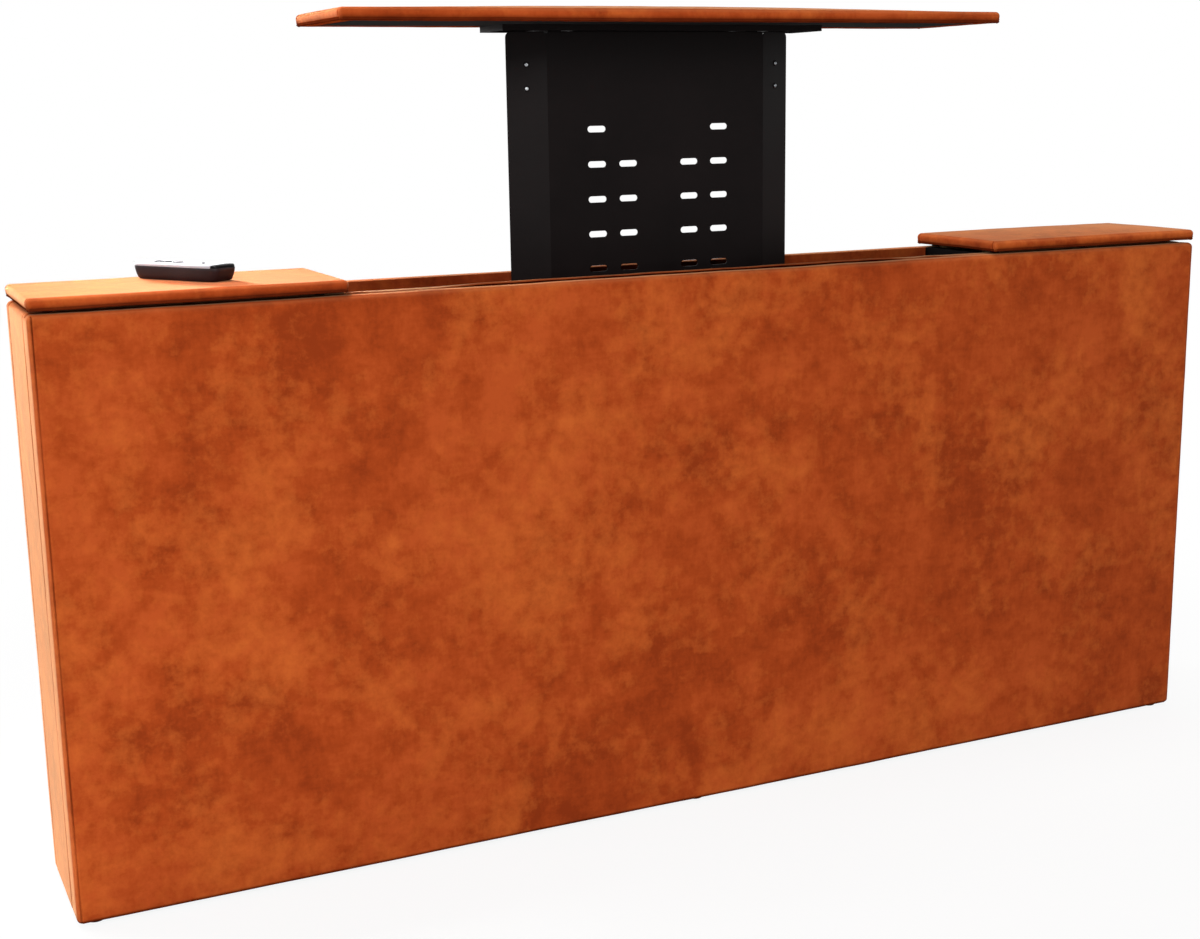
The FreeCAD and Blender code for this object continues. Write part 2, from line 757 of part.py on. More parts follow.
def make_lift_frame():
    half = base_plate_width / 2
    y = (bay_back - base_plate_depth, upright_back)
    blank = box("base_plate_blank", (-half, half), y, (floor_top, lift_floor))
    holes = [
        rod(f"base_plate_hole_{i}", "z", place, (floor_top, lift_floor), screw_radius)
        for i, place in enumerate(base_screws())
    ]
    foot_y = (drive_y - ear_reach, drive_y + ear_reach)
    foot = ears("foot", foot_y, (lift_floor, foot_pin_z + eye_radius), foot_pin_z)
    node(join("lift_base_plate", cut("base_plate_drilled", blank, *holes), *foot))
    node(fork_pin("actuator_foot_pin", foot_pin_z))

    web = slide_web(0)
    middle = upright_back - upright_depth / 2
    uprights = []
    for side in (LEFT, RIGHT):
        upright = body(f"{hand(side)}_lift_upright")
        corners = channel(side, web, web + upright_width, upright_depth / 2, upright_wall, middle)
        pad(upright, "xy", (lift_floor, upright_top), corners)
        uprights.append(upright)
    node(group("lift_uprights", uprights))

    reach = web + upright_width
    bars = []
    for i, height in enumerate(back_bar_heights()):
        y = (upright_back, bay_back)
        z = (height - back_bar_height / 2, height + back_bar_height / 2)
        blank = box(f"back_bar_blank_{i}", (-reach, reach), y, z)
        holes = [
            rod(f"back_bar_hole_{i}_{j}", "y", (x, height), y, screw_radius)
            for j, x in enumerate((-back_screw_side, back_screw_side))
        ]
        bars.append(cut(f"back_bar_{i}", blank, *holes))
    node(group("lift_back_bars", bars))

    screws = [put(screw(f"base_screw_{i}"), x, y, lift_floor) for i, (x, y) in enumerate(base_screws())]
    for i, (x, z) in enumerate(back_bar_screws()):
        screws.append(put(screw(f"back_screw_{i}"), x, upright_back, z, Rotation(X_AXIS, 90)))
    node(group("lift_screws", screws))


def slide_web(member):
    """Where a slide member's web starts, from the middle: 0 is the fixed one, 1 the middle, 2 the inner."""
    if member == 2:
        return post_outer
    return post_outer + slide_wall + slide_spread + (1 - member) * member_step


def slide_half(member):
    return slide_depth / 2 - member * member_step


def make_slide(name, member, z):
    """One member of the left and right telescopic slides."""
    web = slide_web(member)
    lip = (web - outer_flange, web - slide_flange, web + slide_flange)[member]
    rails = []
    for side in (LEFT, RIGHT):
        rail = body(f"{hand(side)}_{name}")
        corners = channel(side, web, lip, slide_half(member), slide_wall, slide_middle)
        pad(rail, "xy", z, corners)
        rails.append(rail)
    node(group(name, rails))


def eye(label, pin_z, z):
    """A forged eye: round about the pin, and square where it joins what it ends."""
    half = eye_width / 2
    ring = rod(f"{label}_ring", "x", (drive_y, pin_z), (-half, half), eye_radius)
    neck = box(f"{label}_neck", (-half, half), (drive_y - eye_radius, drive_y + eye_radius), z)
    hole = rod(f"{label}_hole", "x", (drive_y, pin_z), (-half, half), pin_radius + pin_fit)
    return cut(label, join(f"{label}_solid", ring, neck), hole)


def fork_pin(label, pin_z):
    """A clevis pin with a head on the left and a clip on the right, just outside the ears."""
    grip = eye_width / 2 + clearance + ear_thickness
    axis = (drive_y, pin_z)
    wide = pin_radius + pin_head
    shank = rod(f"{label}_shank", "x", axis, (-grip, grip + pin_tail), pin_radius)
    head = rod(f"{label}_head", "x", axis, (-grip - pin_head, -grip), wide)
    clip = rod(f"{label}_clip", "x", axis, (grip, grip + pin_clip), wide)
    return join(label, shank, head, clip)


def ears(label, y, z, pin_z):
    """The two ears of a clevis, with the pin's holes."""
    near = eye_width / 2 + clearance
    made = []
    for side in (LEFT, RIGHT):
        x = mirrored(side, near, near + ear_thickness)
        plate = box(f"{label}_{hand(side)}_ear", x, y, z)
        hole = rod(f"{label}_{hand(side)}_hole", "x", (drive_y, pin_z), x, pin_radius + pin_fit)
        made.append(cut(f"{label}_{hand(side)}", plate, hole))
    return made


def make_actuator():
    axis = (formula(0), drive_y)
    housing = body("gearbox_housing")
    half = gearbox_depth / 2
    x = (-tube_radius - gearbox_rim, motor_offset + motor_radius + gearbox_rim)
    pad(housing, "xy", (gearbox_low, tube_low), rectangle(x, (drive_y - half, drive_y + half)))
    round_off(housing, is_upright, gearbox_corner)
    seat = rod("spindle_seat", "z", axis, (tube_low - spindle_margin, tube_low), spindle_radius + pin_fit)
    foot_eye = eye("gearbox_eye", foot_pin_z, (foot_pin_z, gearbox_low))
    with_eye = join("gearbox_with_eye", housing, foot_eye)
    node(cut("actuator_gearbox", with_eye, seat))

    motor_axis = (motor_offset, drive_y)
    motor_top = tube_low + motor_length
    can = rod("motor_can", "z", motor_axis, (tube_low, motor_top), motor_radius)
    cap = rod("motor_cap", "z", motor_axis, (motor_top, motor_top + motor_cap), motor_radius - motor_step)
    node(join("actuator_motor", can, cap))

    tube = body("actuator_tube")
    rings = (("circle", *axis, tube_radius), ("circle", *axis, tube_radius - tube_wall))
    pad(tube, "xy", (tube_low, tube_top), *rings)
    node(tube)
    wiper = body("actuator_wiper")
    rings = (("circle", *axis, tube_radius), ("circle", *axis, rod_radius + pin_fit))
    pad(wiper, "xy", (tube_top, tube_top + wiper_height), *rings)
    node(wiper)


def make_spindle():
    """The screw spindle, drawn plain: it stands in the gearbox and turns in the nut."""
    z = (tube_low - spindle_margin, tube_top - spindle_margin)
    node(rod("actuator_spindle", "z", (formula(0), drive_y), z, spindle_radius))


def make_control_box():
    x = control_x
    y = (bay_back - control_depth, bay_back)
    z = (control_low, control_low + control_height)
    tray = body("control_box_tray")
    pad(tray, "xz", (y[0] + control_wall, y[1]), rectangle(x, z))
    inside_x = (x[0] + control_wall, x[1] - control_wall)
    inner = rectangle(inside_x, (z[0] + control_wall, z[1] - control_wall))
    pocket(tray, "xz", (y[0] + control_wall, y[1] - control_wall), inner)
    entry = ("circle", cable_end()[0], cable_end()[1], cable_radius + clearance)
    pocket(tray, "xy", (z[0], z[0] + control_wall), entry)
    node(tray)
    node(box("control_box_lid", x, (y[0], y[0] + control_wall), z))
    rim = control_wall + control_rim
    board_y = (y[1] - control_wall - control_board, y[1] - control_wall)
    above_entry = z[0] + 2 * rim
    node(box("control_board", (x[0] + rim, x[1] - rim), board_y, (above_entry, z[1] - rim)))


def cable_end():
    """Where the motor's cable goes up into the control box, on X and Y."""
    return (control_x[1] - control_entry, bay_back - control_depth / 2)


def bent_wire(points, radii):
    """A path of straight runs joined by tangent arcs, one radius for each corner."""
    edges, start = [], points[0]
    for before, corner, after, radius in zip(points, points[1:], points[2:], radii):
        back, ahead = (before - corner).normalize(), (after - corner).normalize()
        half_turn = (math.pi - back.getAngle(ahead)) / 2
        reach = radius * math.tan(half_turn)
        inward = (back + ahead).normalize()
        top = corner + inward * (radius / math.cos(half_turn) - radius)
        edges.append(Part.LineSegment(start, corner + back * reach).toShape())
        start = corner + ahead * reach
        edges.append(Part.Arc(corner + back * reach, top, start).toShape())
    edges.append(Part.LineSegment(start, points[-1]).toShape())
    return Part.Wire(edges)


def cable_route():
    """From the gearbox down to the floor, along it through the left partition, and up to the control box."""
    gearbox_side = (-tube_radius - gearbox_rim).value
    half_up = (gearbox_low + gearbox_height / 2).value
    end_x, end_y = (place.value for place in cable_end())
    end_z = (control_low + control_wall).value
    return [
        Vector(gearbox_side, drive_y.value, half_up),
        Vector(-60, 50, 73.5),
        Vector(-104, 38, 58),
        Vector(-150, 16, 42),
        Vector(-215, 2, 36.6),
        Vector(-288, 7, 34),
        Vector(-368, 1, 32.2),
        Vector(-448, 7, 32.2),
        Vector(-530, 10, 32.2),
        Vector(-590, 26, 37),
        Vector(end_x + 6, end_y - 13, 60),
        Vector(end_x, end_y, 96),
        Vector(end_x, end_y, end_z),
    ]


def cable_notch():
    """The notch in the foot of the left partition that the cable goes through, on Y and Z."""
    middle = formula(9.5)
    return (middle - notch_size / 2, middle + notch_size / 2), (floor_top, floor_top + notch_size)


def make_motor_cable():
    """The cable, its bends as wide as its runs leave room for."""
    points = cable_route()
    runs = [(b - a).Length for a, b in zip(points, points[1:])]
    radii = []
    for before, corner, after, arriving, leaving in zip(points, points[1:], points[2:], runs, runs[1:]):
        half_turn = (math.pi - (before - corner).getAngle(after - corner)) / 2
        radii.append(0.45 * min(arriving, leaving) / math.tan(half_turn))
    print("cable runs", [round(run) for run in runs])
    print("cable bend radii", [round(radius) for radius in radii])
    path = bent_wire(points, radii)
    ring = Part.Circle(points[0], -X_AXIS, cable_radius.value).toShape()
    shape = path.makePipeShell([Part.Wire([ring])], True, False)
    made = DOC.addObject("Part::Feature", "motor_cable")
    made.Label = "motor_cable"
    made.Shape = shape
    section = math.pi * cable_radius.value**2
    print("cable length", round(path.Length), "volume ratio", shape.Volume / section / path.Length)
    node(made)


def make_outlet():
    """The plastic sleeve that lines the cable outlet through the back wall."""
    centre = (outlet_x, outlet_height)
    sleeve = outlet_hole("outlet_sleeve", (bay_back, back_face))
    flange = rod("outlet_flange", "y", centre, (board_back, back_face), outlet_flange)
    bore = rod("outlet_bore", "y", centre, (bay_back, back_face), outlet_radius)
    node(cut("cable_outlet", join("outlet_solid", sleeve, flange), bore))


# ---------------------------------------------------------------- the lift, moving parts


def middle_slide_low():
    """The middle members travel half as far as the carriage."""
    return fixed_slide[0] + slide_margin + lid_raised / 2


def make_middle_stage():
    low = middle_slide_low()
    z = (low, low + slide_length)
    make_slide("middle_slides", 1, z)
    web, half = slide_web(1), slide_half(1)
    strips = []
    top = low + slide_length
    tie_z = (top - tie_drop - tie_height, top - tie_drop)
    liner_z = (low + tie_drop, tie_z[0] - tie_drop)
    for side in (LEFT, RIGHT):
        outer_end = web - liner_inset
        x = mirrored(side, outer_end - liner_width, outer_end)
        inner_end = web - slide_wall - liner_inset
        inner_x = mirrored(side, inner_end - liner_width, inner_end)
        for edge in (-1, 1):
            outside = slide_middle + edge * half
            inside = slide_middle + edge * (half - slide_wall)
            outer_y = (outside - slide_liner, outside) if edge < 0 else (outside, outside + slide_liner)
            inner_y = (inside, inside + slide_liner) if edge < 0 else (inside - slide_liner, inside)
            name = f"{hand(side)}_liner_{edge + 1}"
            strips.append(box(f"{name}_outer", x, outer_y, liner_z))
            strips.append(box(f"{name}_inner", inner_x, inner_y, liner_z))
    node(group("slide_liners", strips))
    reach = web - liner_inset
    tie_y = (slide_middle + half, slide_middle + half + tie_thickness)
    node(box("middle_tie_bar", (-reach, reach), tie_y, tie_z))


def plate_outline():
    """The television plate seen from above: a flat with a wing folded back at each side."""
    out, back = wing_length * cosine(wing_angle), wing_length * sine(wing_angle)
    fold = plate_thickness * (1 - cosine(wing_angle)) / sine(wing_angle)
    thick_out = plate_thickness * sine(wing_angle)
    thick_back = plate_thickness * cosine(wing_angle)
    right = [
        (plate_half, plate_front),
        (plate_half + out, plate_front + back),
        (plate_half + out - thick_out, plate_front + back + thick_back),
        (plate_half - fold, plate_back),
    ]
    return right + [(-u, v) for u, v in reversed(right)]


def wing_spot(side, along, deep=0):
    """A place on a wing's front surface, `along` from the fold and `deep` behind the surface."""
    u = plate_half + along * cosine(wing_angle) - deep * sine(wing_angle)
    return side * u, plate_front + along * sine(wing_angle) + deep * cosine(wing_angle)


def crossbar_heights():
    """Middles of the upper crossbar, the one at the plate's foot, and the one at the posts' foot."""
    return (rod_pin_z, plate_low + bar_inset, post_low + bar_inset)


def wing_screw_heights():
    upper = plate_top - wing_screw_drop
    return (upper, upper - wing_screw_pitch)


def make_television_plate():
    plate = body("tv_plate")
    pad(plate, "xy", (plate_low, plate_top), plate_outline())
    round_off(plate, is_wing_tip, plate_corner)
    y = (plate_front - 1, plate_back + 1)
    top = plate_top - first_row
    slots = [("slot", side * slot_pitch * 2, top, slot_length, slot_width) for side in (LEFT, RIGHT)]
    outer = pocket(plate, "xz", y, *slots)
    repeat_down(plate, outer, slot_rows, (slot_rows - 1) * slot_pitch)
    top = top - slot_pitch
    slots = [("slot", side * slot_pitch, top, slot_length, slot_width) for side in (LEFT, RIGHT)]
    inner = pocket(plate, "xz", y, *slots)
    repeat_down(plate, inner, slot_rows - 1, (slot_rows - 2) * slot_pitch)

    tools = [wing_hole(side, height) for side in (LEFT, RIGHT) for height in wing_screw_heights()]
    fold_y = (plate_front - 2, plate_back + 2)
    for side in (LEFT, RIGHT):
        for end, height in enumerate((plate_low, plate_top)):
            label = f"{hand(side)}_fold_notch_{end}"
            tools.append(rod(label, "y", (side * plate_half, height), fold_y, fold_notch))
    plate.Label = "tv_plate_folded"
    node(cut("tv_plate", plate, *tools))


def repeat_down(owner, feature, count, reach):
    """A row of slots repeated down the plate, `reach` from the first to the last."""
    before = volume_of(owner)
    pattern = owner.newObject("PartDesign::LinearPattern", f"{feature.Label}_rows")
    pattern.Originals = [feature]
    pattern.Direction = (feature.Profile[0], ["V_Axis"])
    pattern.Reversed = True
    bind(pattern, "Length", reach)
    bind(pattern, "Occurrences", count)
    owner.Tip = pattern
    if volume_of(owner) >= before:
        raise RuntimeError(f"the pattern of {owner.Label} cuts nothing")


def is_upright(edge):
    return abs(edge.tangentAt(edge.FirstParameter).z) > 0.999


def is_wing_tip(edge):
    """The short top and bottom edges at the outer ends of the wings."""
    across = (edge.BoundBox.XMin + edge.BoundBox.XMax) / 2
    reach = (plate_half + wing_length * cosine(wing_angle)).value
    short = edge.Length < plate_thickness.value + 0.1
    at_top = abs(edge.CenterOfMass.z - plate_top.value) < 1e-3
    return short and at_top and abs(across) > reach - 2


def wing_hole(side, height):
    """A hole square to a wing, through the wing and the bracket behind it."""
    label = f"{hand(side)}_wing_hole_{round(height.value)}"
    reach = 2 * wing_screw_length
    made = rod(label, "y", (0, 0), (formula(0), 2 * reach), screw_radius)
    turn = Rotation(Z_AXIS, side * wing_angle.value) * Rotation(X_AXIS, -90)
    x, y = wing_spot(side, wing_length / 2, -reach)
    return put(made, x, y, height, turn)


def make_wing_brackets():
    """Folded brackets that carry the wings on the posts, up where the fixed rails never reach."""
    made = []
    upper, lower = wing_screw_heights()
    z = (lower - bracket_margin, upper + bracket_margin)
    thick = plate_thickness
    for side in (LEFT, RIGHT):
        near = wing_spot(RIGHT, bracket_wall, thick)
        far = wing_spot(RIGHT, wing_length - bracket_short, thick)
        far_back = wing_spot(RIGHT, wing_length - bracket_short, thick + bracket_wall)
        near_back = wing_spot(RIGHT, bracket_wall + 1, thick + bracket_wall)
        corners = [
            (post_outer, bar_back),
            near,
            far,
            far_back,
            near_back,
            (post_outer + bracket_wall, bar_back + bracket_wall),
            (post_outer + bracket_wall, bar_back + bracket_margin),
            (post_outer, bar_back + bracket_margin),
        ]
        blank = body(f"{hand(side)}_bracket_blank")
        pad(blank, "xy", z, [(side * u, v) for u, v in corners])
        tools = [wing_hole(side, height) for height in (upper, lower)]
        made.append(cut(f"{hand(side)}_wing_bracket", blank, *tools))
    node(group("wing_brackets", made))


def make_carriage():
    y = (bar_back, bar_back + post_depth)
    posts = []
    for side in (LEFT, RIGHT):
        post = body(f"{hand(side)}_carriage_post")
        x = (side * post_inner, side * post_outer)
        inner_x = (side * (post_inner + post_wall), side * (post_outer - post_wall))
        inner_y = (y[0] + post_wall, y[1] - post_wall)
        pad(post, "xy", (post_low, post_top), rectangle(x, y), rectangle(inner_x, inner_y))
        middle = side * (post_inner + post_width / 2)
        cap_x = (middle - cap_width / 2, middle + cap_width / 2)
        holes = [("circle", *place, screw_radius) for place in tray_bolts(side)]
        pad(post, "xy", (post_top, post_top + cap_thickness), rectangle(cap_x, y), *holes)
        posts.append(post)
    node(group("carriage_posts", posts))
    make_slide("inner_slides", 2, (post_low, post_low + slide_length))

    bars = []
    for i, height in enumerate(crossbar_heights()):
        z = (height - bar_height / 2, height + bar_height / 2)
        bars.append(box(f"crossbar_{i}", (-post_outer, post_outer), (plate_back, bar_back), z))
    ears_z = (rod_pin_z - ear_reach, rod_pin_z + ear_reach)
    bars += ears("rod_bracket", (bar_back, drive_y + ear_reach), ears_z, rod_pin_z)
    node(group("carriage_crossbars", bars))

    screws = []
    for side in (LEFT, RIGHT):
        for height in wing_screw_heights():
            x, y = wing_spot(side, wing_length / 2)
            turn = Rotation(Z_AXIS, side * wing_angle.value) * Rotation(X_AXIS, 90)
            made = screw(f"{hand(side)}_wing_screw_{round(height.value)}", wing_screw_length)
            screws.append(put(made, x, y, height, turn))
    node(group("wing_screws", screws))


def tray_bolts(side):
    """The two bolts that hold the tray to one post, either side of the post, on X and Y."""
    middle = post_inner + post_width / 2
    y = bar_back + post_depth / 2
    return [(side * (middle - tray_bolt_side), y), (side * (middle + tray_bolt_side), y)]


def tray_screws():
    """The screws that hold the tray to the lid's board, on X and Y."""
    front = tray_front() + tray_screw_inset
    back = tray_front() + tray_depth - tray_screw_inset
    outer = tray_width / 2 - tray_screw_end
    return [(x, y) for x in (-outer, formula(0), outer) for y in (front, back)]


def tray_front():
    return bay_back - tray_gap - tray_depth


def make_lid_tray():
    tray = body("lid_tray")
    x = (-tray_width / 2, tray_width / 2)
    y = (tray_front(), tray_front() + tray_depth)
    pad(tray, "xy", (tray_low, mid_lid_low), rectangle(x, y))
    inner = rectangle((x[0] + tray_wall, x[1] - tray_wall), (y[0] + tray_wall, y[1] - tray_wall))
    pocket(tray, "xy", (tray_low, mid_lid_low - tray_plate), inner)
    places = tray_screws() + tray_bolts(LEFT) + tray_bolts(RIGHT)
    holes = [("circle", *place, screw_radius) for place in places]
    pocket(tray, "xy", (mid_lid_low - tray_plate, mid_lid_low), *holes)
    node(tray)

    down = Rotation(X_AXIS, 180)
    bolts = []
    for side in (LEFT, RIGHT):
        for i, (x, y) in enumerate(tray_bolts(side)):
            made = screw(f"{hand(side)}_tray_bolt_{i}", cap_thickness + tray_plate)
            bolts.append(put(made, x, y, post_top, down))
    for i, (x, y) in enumerate(tray_screws()):
        bolts.append(put(screw(f"lid_screw_{i}"), x, y, mid_lid_low - tray_plate, down))
    node(group("tray_screws", bolts))


def make_rod():
    axis = (formula(0), drive_y)
    shaft = body("rod_shaft")
    rings = (("circle", *axis, rod_radius), ("circle", *axis, rod_radius - rod_wall))
    plug_low = rod_top - rod_plug
    pad(shaft, "xy", (nut_low + nut_length, plug_low), *rings)
    plug = rod("rod_plug", "z", axis, (plug_low, rod_top), rod_radius)
    node(join("actuator_rod", shaft, plug, eye("rod_eye", rod_pin_z, (rod_top, rod_pin_z))))
    nut = body("actuator_nut")
    rings = (
        ("circle", *axis, tube_radius - tube_wall - pin_fit),
        ("circle", *axis, spindle_radius + pin_fit),
    )
    pad(nut, "xy", (nut_low, nut_low + nut_length), *rings)
    node(nut)
    node(fork_pin("rod_pin", rod_pin_z))


# ---------------------------------------------------------------- the remote control


def lay_on_lid(thing):
    """Moves a piece of the remote from its own frame to where it lies on the left lid."""
    bind(thing, "Placement.Base.x", -remote_across)
    bind(thing, "Placement.Base.y", remote_back)
    bind(thing, "Placement.Base.z", lid_seat + lid_thickness)
    thing.Placement.Rotation = Rotation(Z_AXIS, remote_turn.value)
    bind(thing, "Placement.Rotation.Angle", remote_turn)
    return node(thing)


KEYS = {"up": -1, "stop": 0, "down": 1}


def key_place(name):
    return (KEYS[name] * key_pitch - key_middle, formula(0))


def make_remote():
    half_long, half_wide = remote_length / 2, remote_width / 2
    split = remote_height - remote_face
    well = remote_wall + 1.5

    base = body("remote_base")
    side_view = [
        (-half_long + remote_taper, formula(0)),
        (half_long - remote_taper, formula(0)),
        (half_long, split),
        (-half_long, split),
    ]
    pad(base, "xz", (-half_wide, half_wide), side_view)
    inside = rectangle(
        (-half_long + remote_taper + well, half_long - remote_taper - well),
        (-half_wide + remote_wall, half_wide - remote_wall),
    )
    pocket(base, "xy", (remote_wall, split), inside)
    door_x = (door_start, half_long - remote_taper - well - remote_wall)
    door_y = (-half_wide + door_rim, half_wide - door_rim)
    pocket(base, "xy", (formula(0), remote_wall), rectangle(door_x, door_y))
    lay_on_lid(base)

    door = body("remote_battery_door")
    inset_x = (door_x[0] + clearance, door_x[1] - clearance)
    inset_y = (door_y[0] + clearance, door_y[1] - clearance)
    pad(door, "xy", (clearance, remote_wall), rectangle(inset_x, inset_y))
    lay_on_lid(door)

    face = body("remote_face")
    pad(face, "xy", (split, remote_height), rectangle((-half_long, half_long), (-half_wide, half_wide)))
    holes = [("circle", *key_place(name), key_radius + clearance) for name in KEYS]
    pocket(face, "xy", (split, remote_height), *holes)
    lay_on_lid(face)

    board_z = (split - circuit_drop - circuit_thickness, split - circuit_drop)
    circuit = body("remote_circuit_board")
    rim = well + remote_taper + clearance
    circuit_y = (-half_wide + remote_wall + clearance, half_wide - remote_wall - clearance)
    pad(circuit, "xy", board_z, rectangle((-half_long + rim, door_start), circuit_y))
    lay_on_lid(circuit)

    cells = body("remote_batteries")
    cell_z = remote_wall + cell_radius + clearance
    rings = [("circle", side * cell_side, cell_z, cell_radius) for side in (LEFT, RIGHT)]
    pad(cells, "yz", (cell_start, cell_start + cell_length), *rings)
    lay_on_lid(cells)

    for name in KEYS:
        key = body(f"remote_{name}_key")
        low = board_z[1] + key_travel + clearance
        under = split - clearance
        pad(key, "xy", (low, under), ("circle", *key_place(name), key_radius + key_flange))
        pad(key, "xy", (under, remote_height + key_proud), ("circle", *key_place(name), key_radius))
        lay_on_lid(key)


# ---------------------------------------------------------------- all of it


def check(thing):
    if thing.Shape.isNull() or not thing.Shape.isValid():
        raise RuntimeError(f"{thing.Label} has no valid shape")


def main():
    make_front_wall()
    make_back_wall()
    make_ends()
    make_floor_and_partitions()
    make_glides()
    make_end_lids()
    make_lift_frame()
    make_slide("outer_slides", 0, fixed_slide)
    make_actuator()
    make_spindle()
    make_control_box()
    make_motor_cable()
    make_outlet()
    make_middle_stage()
    make_carriage()
    make_television_plate()
    make_wing_brackets()
    make_lid_tray()
    mid_lid_x = (-bay_half + lid_joint, bay_half - lid_joint)
    for piece in make_lid("middle_lid", mid_lid_x, mid_lid_low, tray_screws()):
        node(piece)
    make_rod()
    make_remote()

    DOC.recompute()
    failed = [o.Label for o in DOC.Objects if {"Invalid", "Error"} & set(o.State)]
    if failed:
        raise RuntimeError(f"these did not build: {failed}")
    os.makedirs("parts", exist_ok=True)
    for thing in NODES:
        check(thing)
        thing.Shape.exportStep(f"parts/{thing.Label}.step")
    print(len(NODES), "sub-parts")


main()
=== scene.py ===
import json
import math
from itertools import product

import bmesh
import bpy
from mathutils import Matrix, Vector, noise


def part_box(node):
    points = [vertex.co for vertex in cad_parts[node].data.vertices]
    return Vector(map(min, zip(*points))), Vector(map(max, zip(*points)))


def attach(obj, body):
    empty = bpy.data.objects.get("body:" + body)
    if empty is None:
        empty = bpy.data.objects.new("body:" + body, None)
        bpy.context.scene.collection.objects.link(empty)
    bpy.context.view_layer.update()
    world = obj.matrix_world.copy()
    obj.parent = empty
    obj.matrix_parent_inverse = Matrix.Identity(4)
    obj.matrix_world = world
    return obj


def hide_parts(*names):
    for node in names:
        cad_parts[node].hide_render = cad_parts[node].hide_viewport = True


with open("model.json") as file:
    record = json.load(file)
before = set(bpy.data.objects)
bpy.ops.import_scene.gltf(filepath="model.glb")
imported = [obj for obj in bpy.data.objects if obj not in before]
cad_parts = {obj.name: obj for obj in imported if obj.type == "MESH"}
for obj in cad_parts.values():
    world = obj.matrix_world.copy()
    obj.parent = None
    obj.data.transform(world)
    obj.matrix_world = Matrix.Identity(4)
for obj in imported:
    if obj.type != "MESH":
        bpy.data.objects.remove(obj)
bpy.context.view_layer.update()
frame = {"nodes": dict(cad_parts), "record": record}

NODES = frame["nodes"]
MM = 0.001
TINY = 1e-9
LEFT, RIGHT = -1, 1


def corners_of(node):
    """A node's low and high corners, as copies that may be moved."""
    low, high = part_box(node)
    return low.copy(), high.copy()


def middle_of(node):
    """The middle of a node's box."""
    return sum(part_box(node), Vector()) / 2


# the case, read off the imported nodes
CASE_LOW, CASE_HIGH = corners_of("front_cover")
HALF_WIDTH = CASE_HIGH.x
FRONT_FACE, FRONT_SEAM = CASE_LOW.y, CASE_HIGH.y
BACK_SEAM, BACK_FACE = (corner.y for corner in corners_of("back_cover"))
OUTLET = middle_of("cable_outlet")

# how the cloth is cut and laid
EDGE_ROLL = 8 * MM
LID_ROLL = 6.5 * MM
PANEL_GRID = 11 * MM
SEAM_GRID = 1 * MM
SEAM_REACH = 5 * MM
TOP_TURN = 27 * MM
BOTTOM_TURN = 20 * MM
WALL_PADDING = 5.4 * MM
LID_PADDING = 2.7 * MM
SEAM_GAP = 0.15 * MM
SIDE_SEAM = 2.2 * MM
SIDE_TUCK = 0.7 * MM
CORNER_SEAM = 4.5 * MM


# -------------------- materials


def linear(code):
    """The linear colour of an sRGB hex code."""
    shares = [int(code[i : i + 2], 16) / 255 for i in (1, 3, 5)]
    return (*[s / 12.92 if s <= 0.04045 else ((s + 0.055) / 1.055) ** 2.4 for s in shares], 1)


def each(millimetres):
    """The scale of a pattern whose features are this far apart."""
    return 1 / (millimetres * MM)


def feed(tree, node, links):
    """Links what reaches a node's sockets: an output, or a node, which stands for its first output."""
    for name, source in links.items():
        output = source if isinstance(source, bpy.types.NodeSocket) else source.outputs[0]
        tree.links.new(output, node.inputs[name])


def add(tree, kind, settings=None, links=None):
    """Adds a shader node with its settings, its sockets' values, its ramp's stops and the links to it."""
    made = tree.nodes.new("ShaderNode" + kind)
    for name, value in (settings or {}).items():
        if name == "stops":
            ramp = made.color_ramp.elements
            while len(ramp) < len(value):
                ramp.new(0.5)
            for stop, (at, code) in zip(ramp, value):
                stop.position = at
                stop.color = linear(code)
        elif isinstance(name, int) or name in made.inputs:
            made.inputs[name].default_value = value
        else:
            setattr(made, name, value)
    feed(tree, made, links or {})
    return made


def empty_tree(owner):
    """The node tree of a material or a world, with nothing in it yet."""
    owner.use_nodes = True
    owner.node_tree.nodes.clear()
    return owner.node_tree


def specks(tree, at, apart, detail, **more):
    """Noise whose features are this many millimetres apart, over the places that at gives."""
    return add(tree, "TexNoise", {"Scale": each(apart), "Detail": detail, **more}, at)


def begin(name, settings):
    """A material with one Principled surface: it, its tree, that shader and a link to the object's space."""
    made = bpy.data.materials.new(name)
    tree = empty_tree(made)
    shader = add(tree, "BsdfPrincipled", settings)
    add(tree, "OutputMaterial", {}, {"Surface": shader})
    place = add(tree, "TexCoord")
    return made, tree, shader, {"Vector": place.outputs["Object"]}


def lay(tree, shader, pattern, stops, relief, gloss=None):
    """Lets a pattern set the colour, by its stops, and the roughness, between the two values of gloss.
    relief is the pattern that raises the surface, how strongly it does and how deep it is in mm."""
    shade = add(tree, "ValToRGB", {"stops": stops}, {"Fac": pattern})
    height, strength, depth = relief
    bump = add(tree, "Bump", {"Strength": strength, "Distance": depth * MM}, {"Height": height})
    feed(tree, shader, {"Base Color": shade, "Normal": bump})
    if gloss:
        limits = {"From Min": 0.3, "From Max": 0.7, "To Min": gloss[0], "To Max": gloss[1]}
        rough = add(tree, "MapRange", limits, {"Value": pattern})
        feed(tree, shader, {"Roughness": rough})


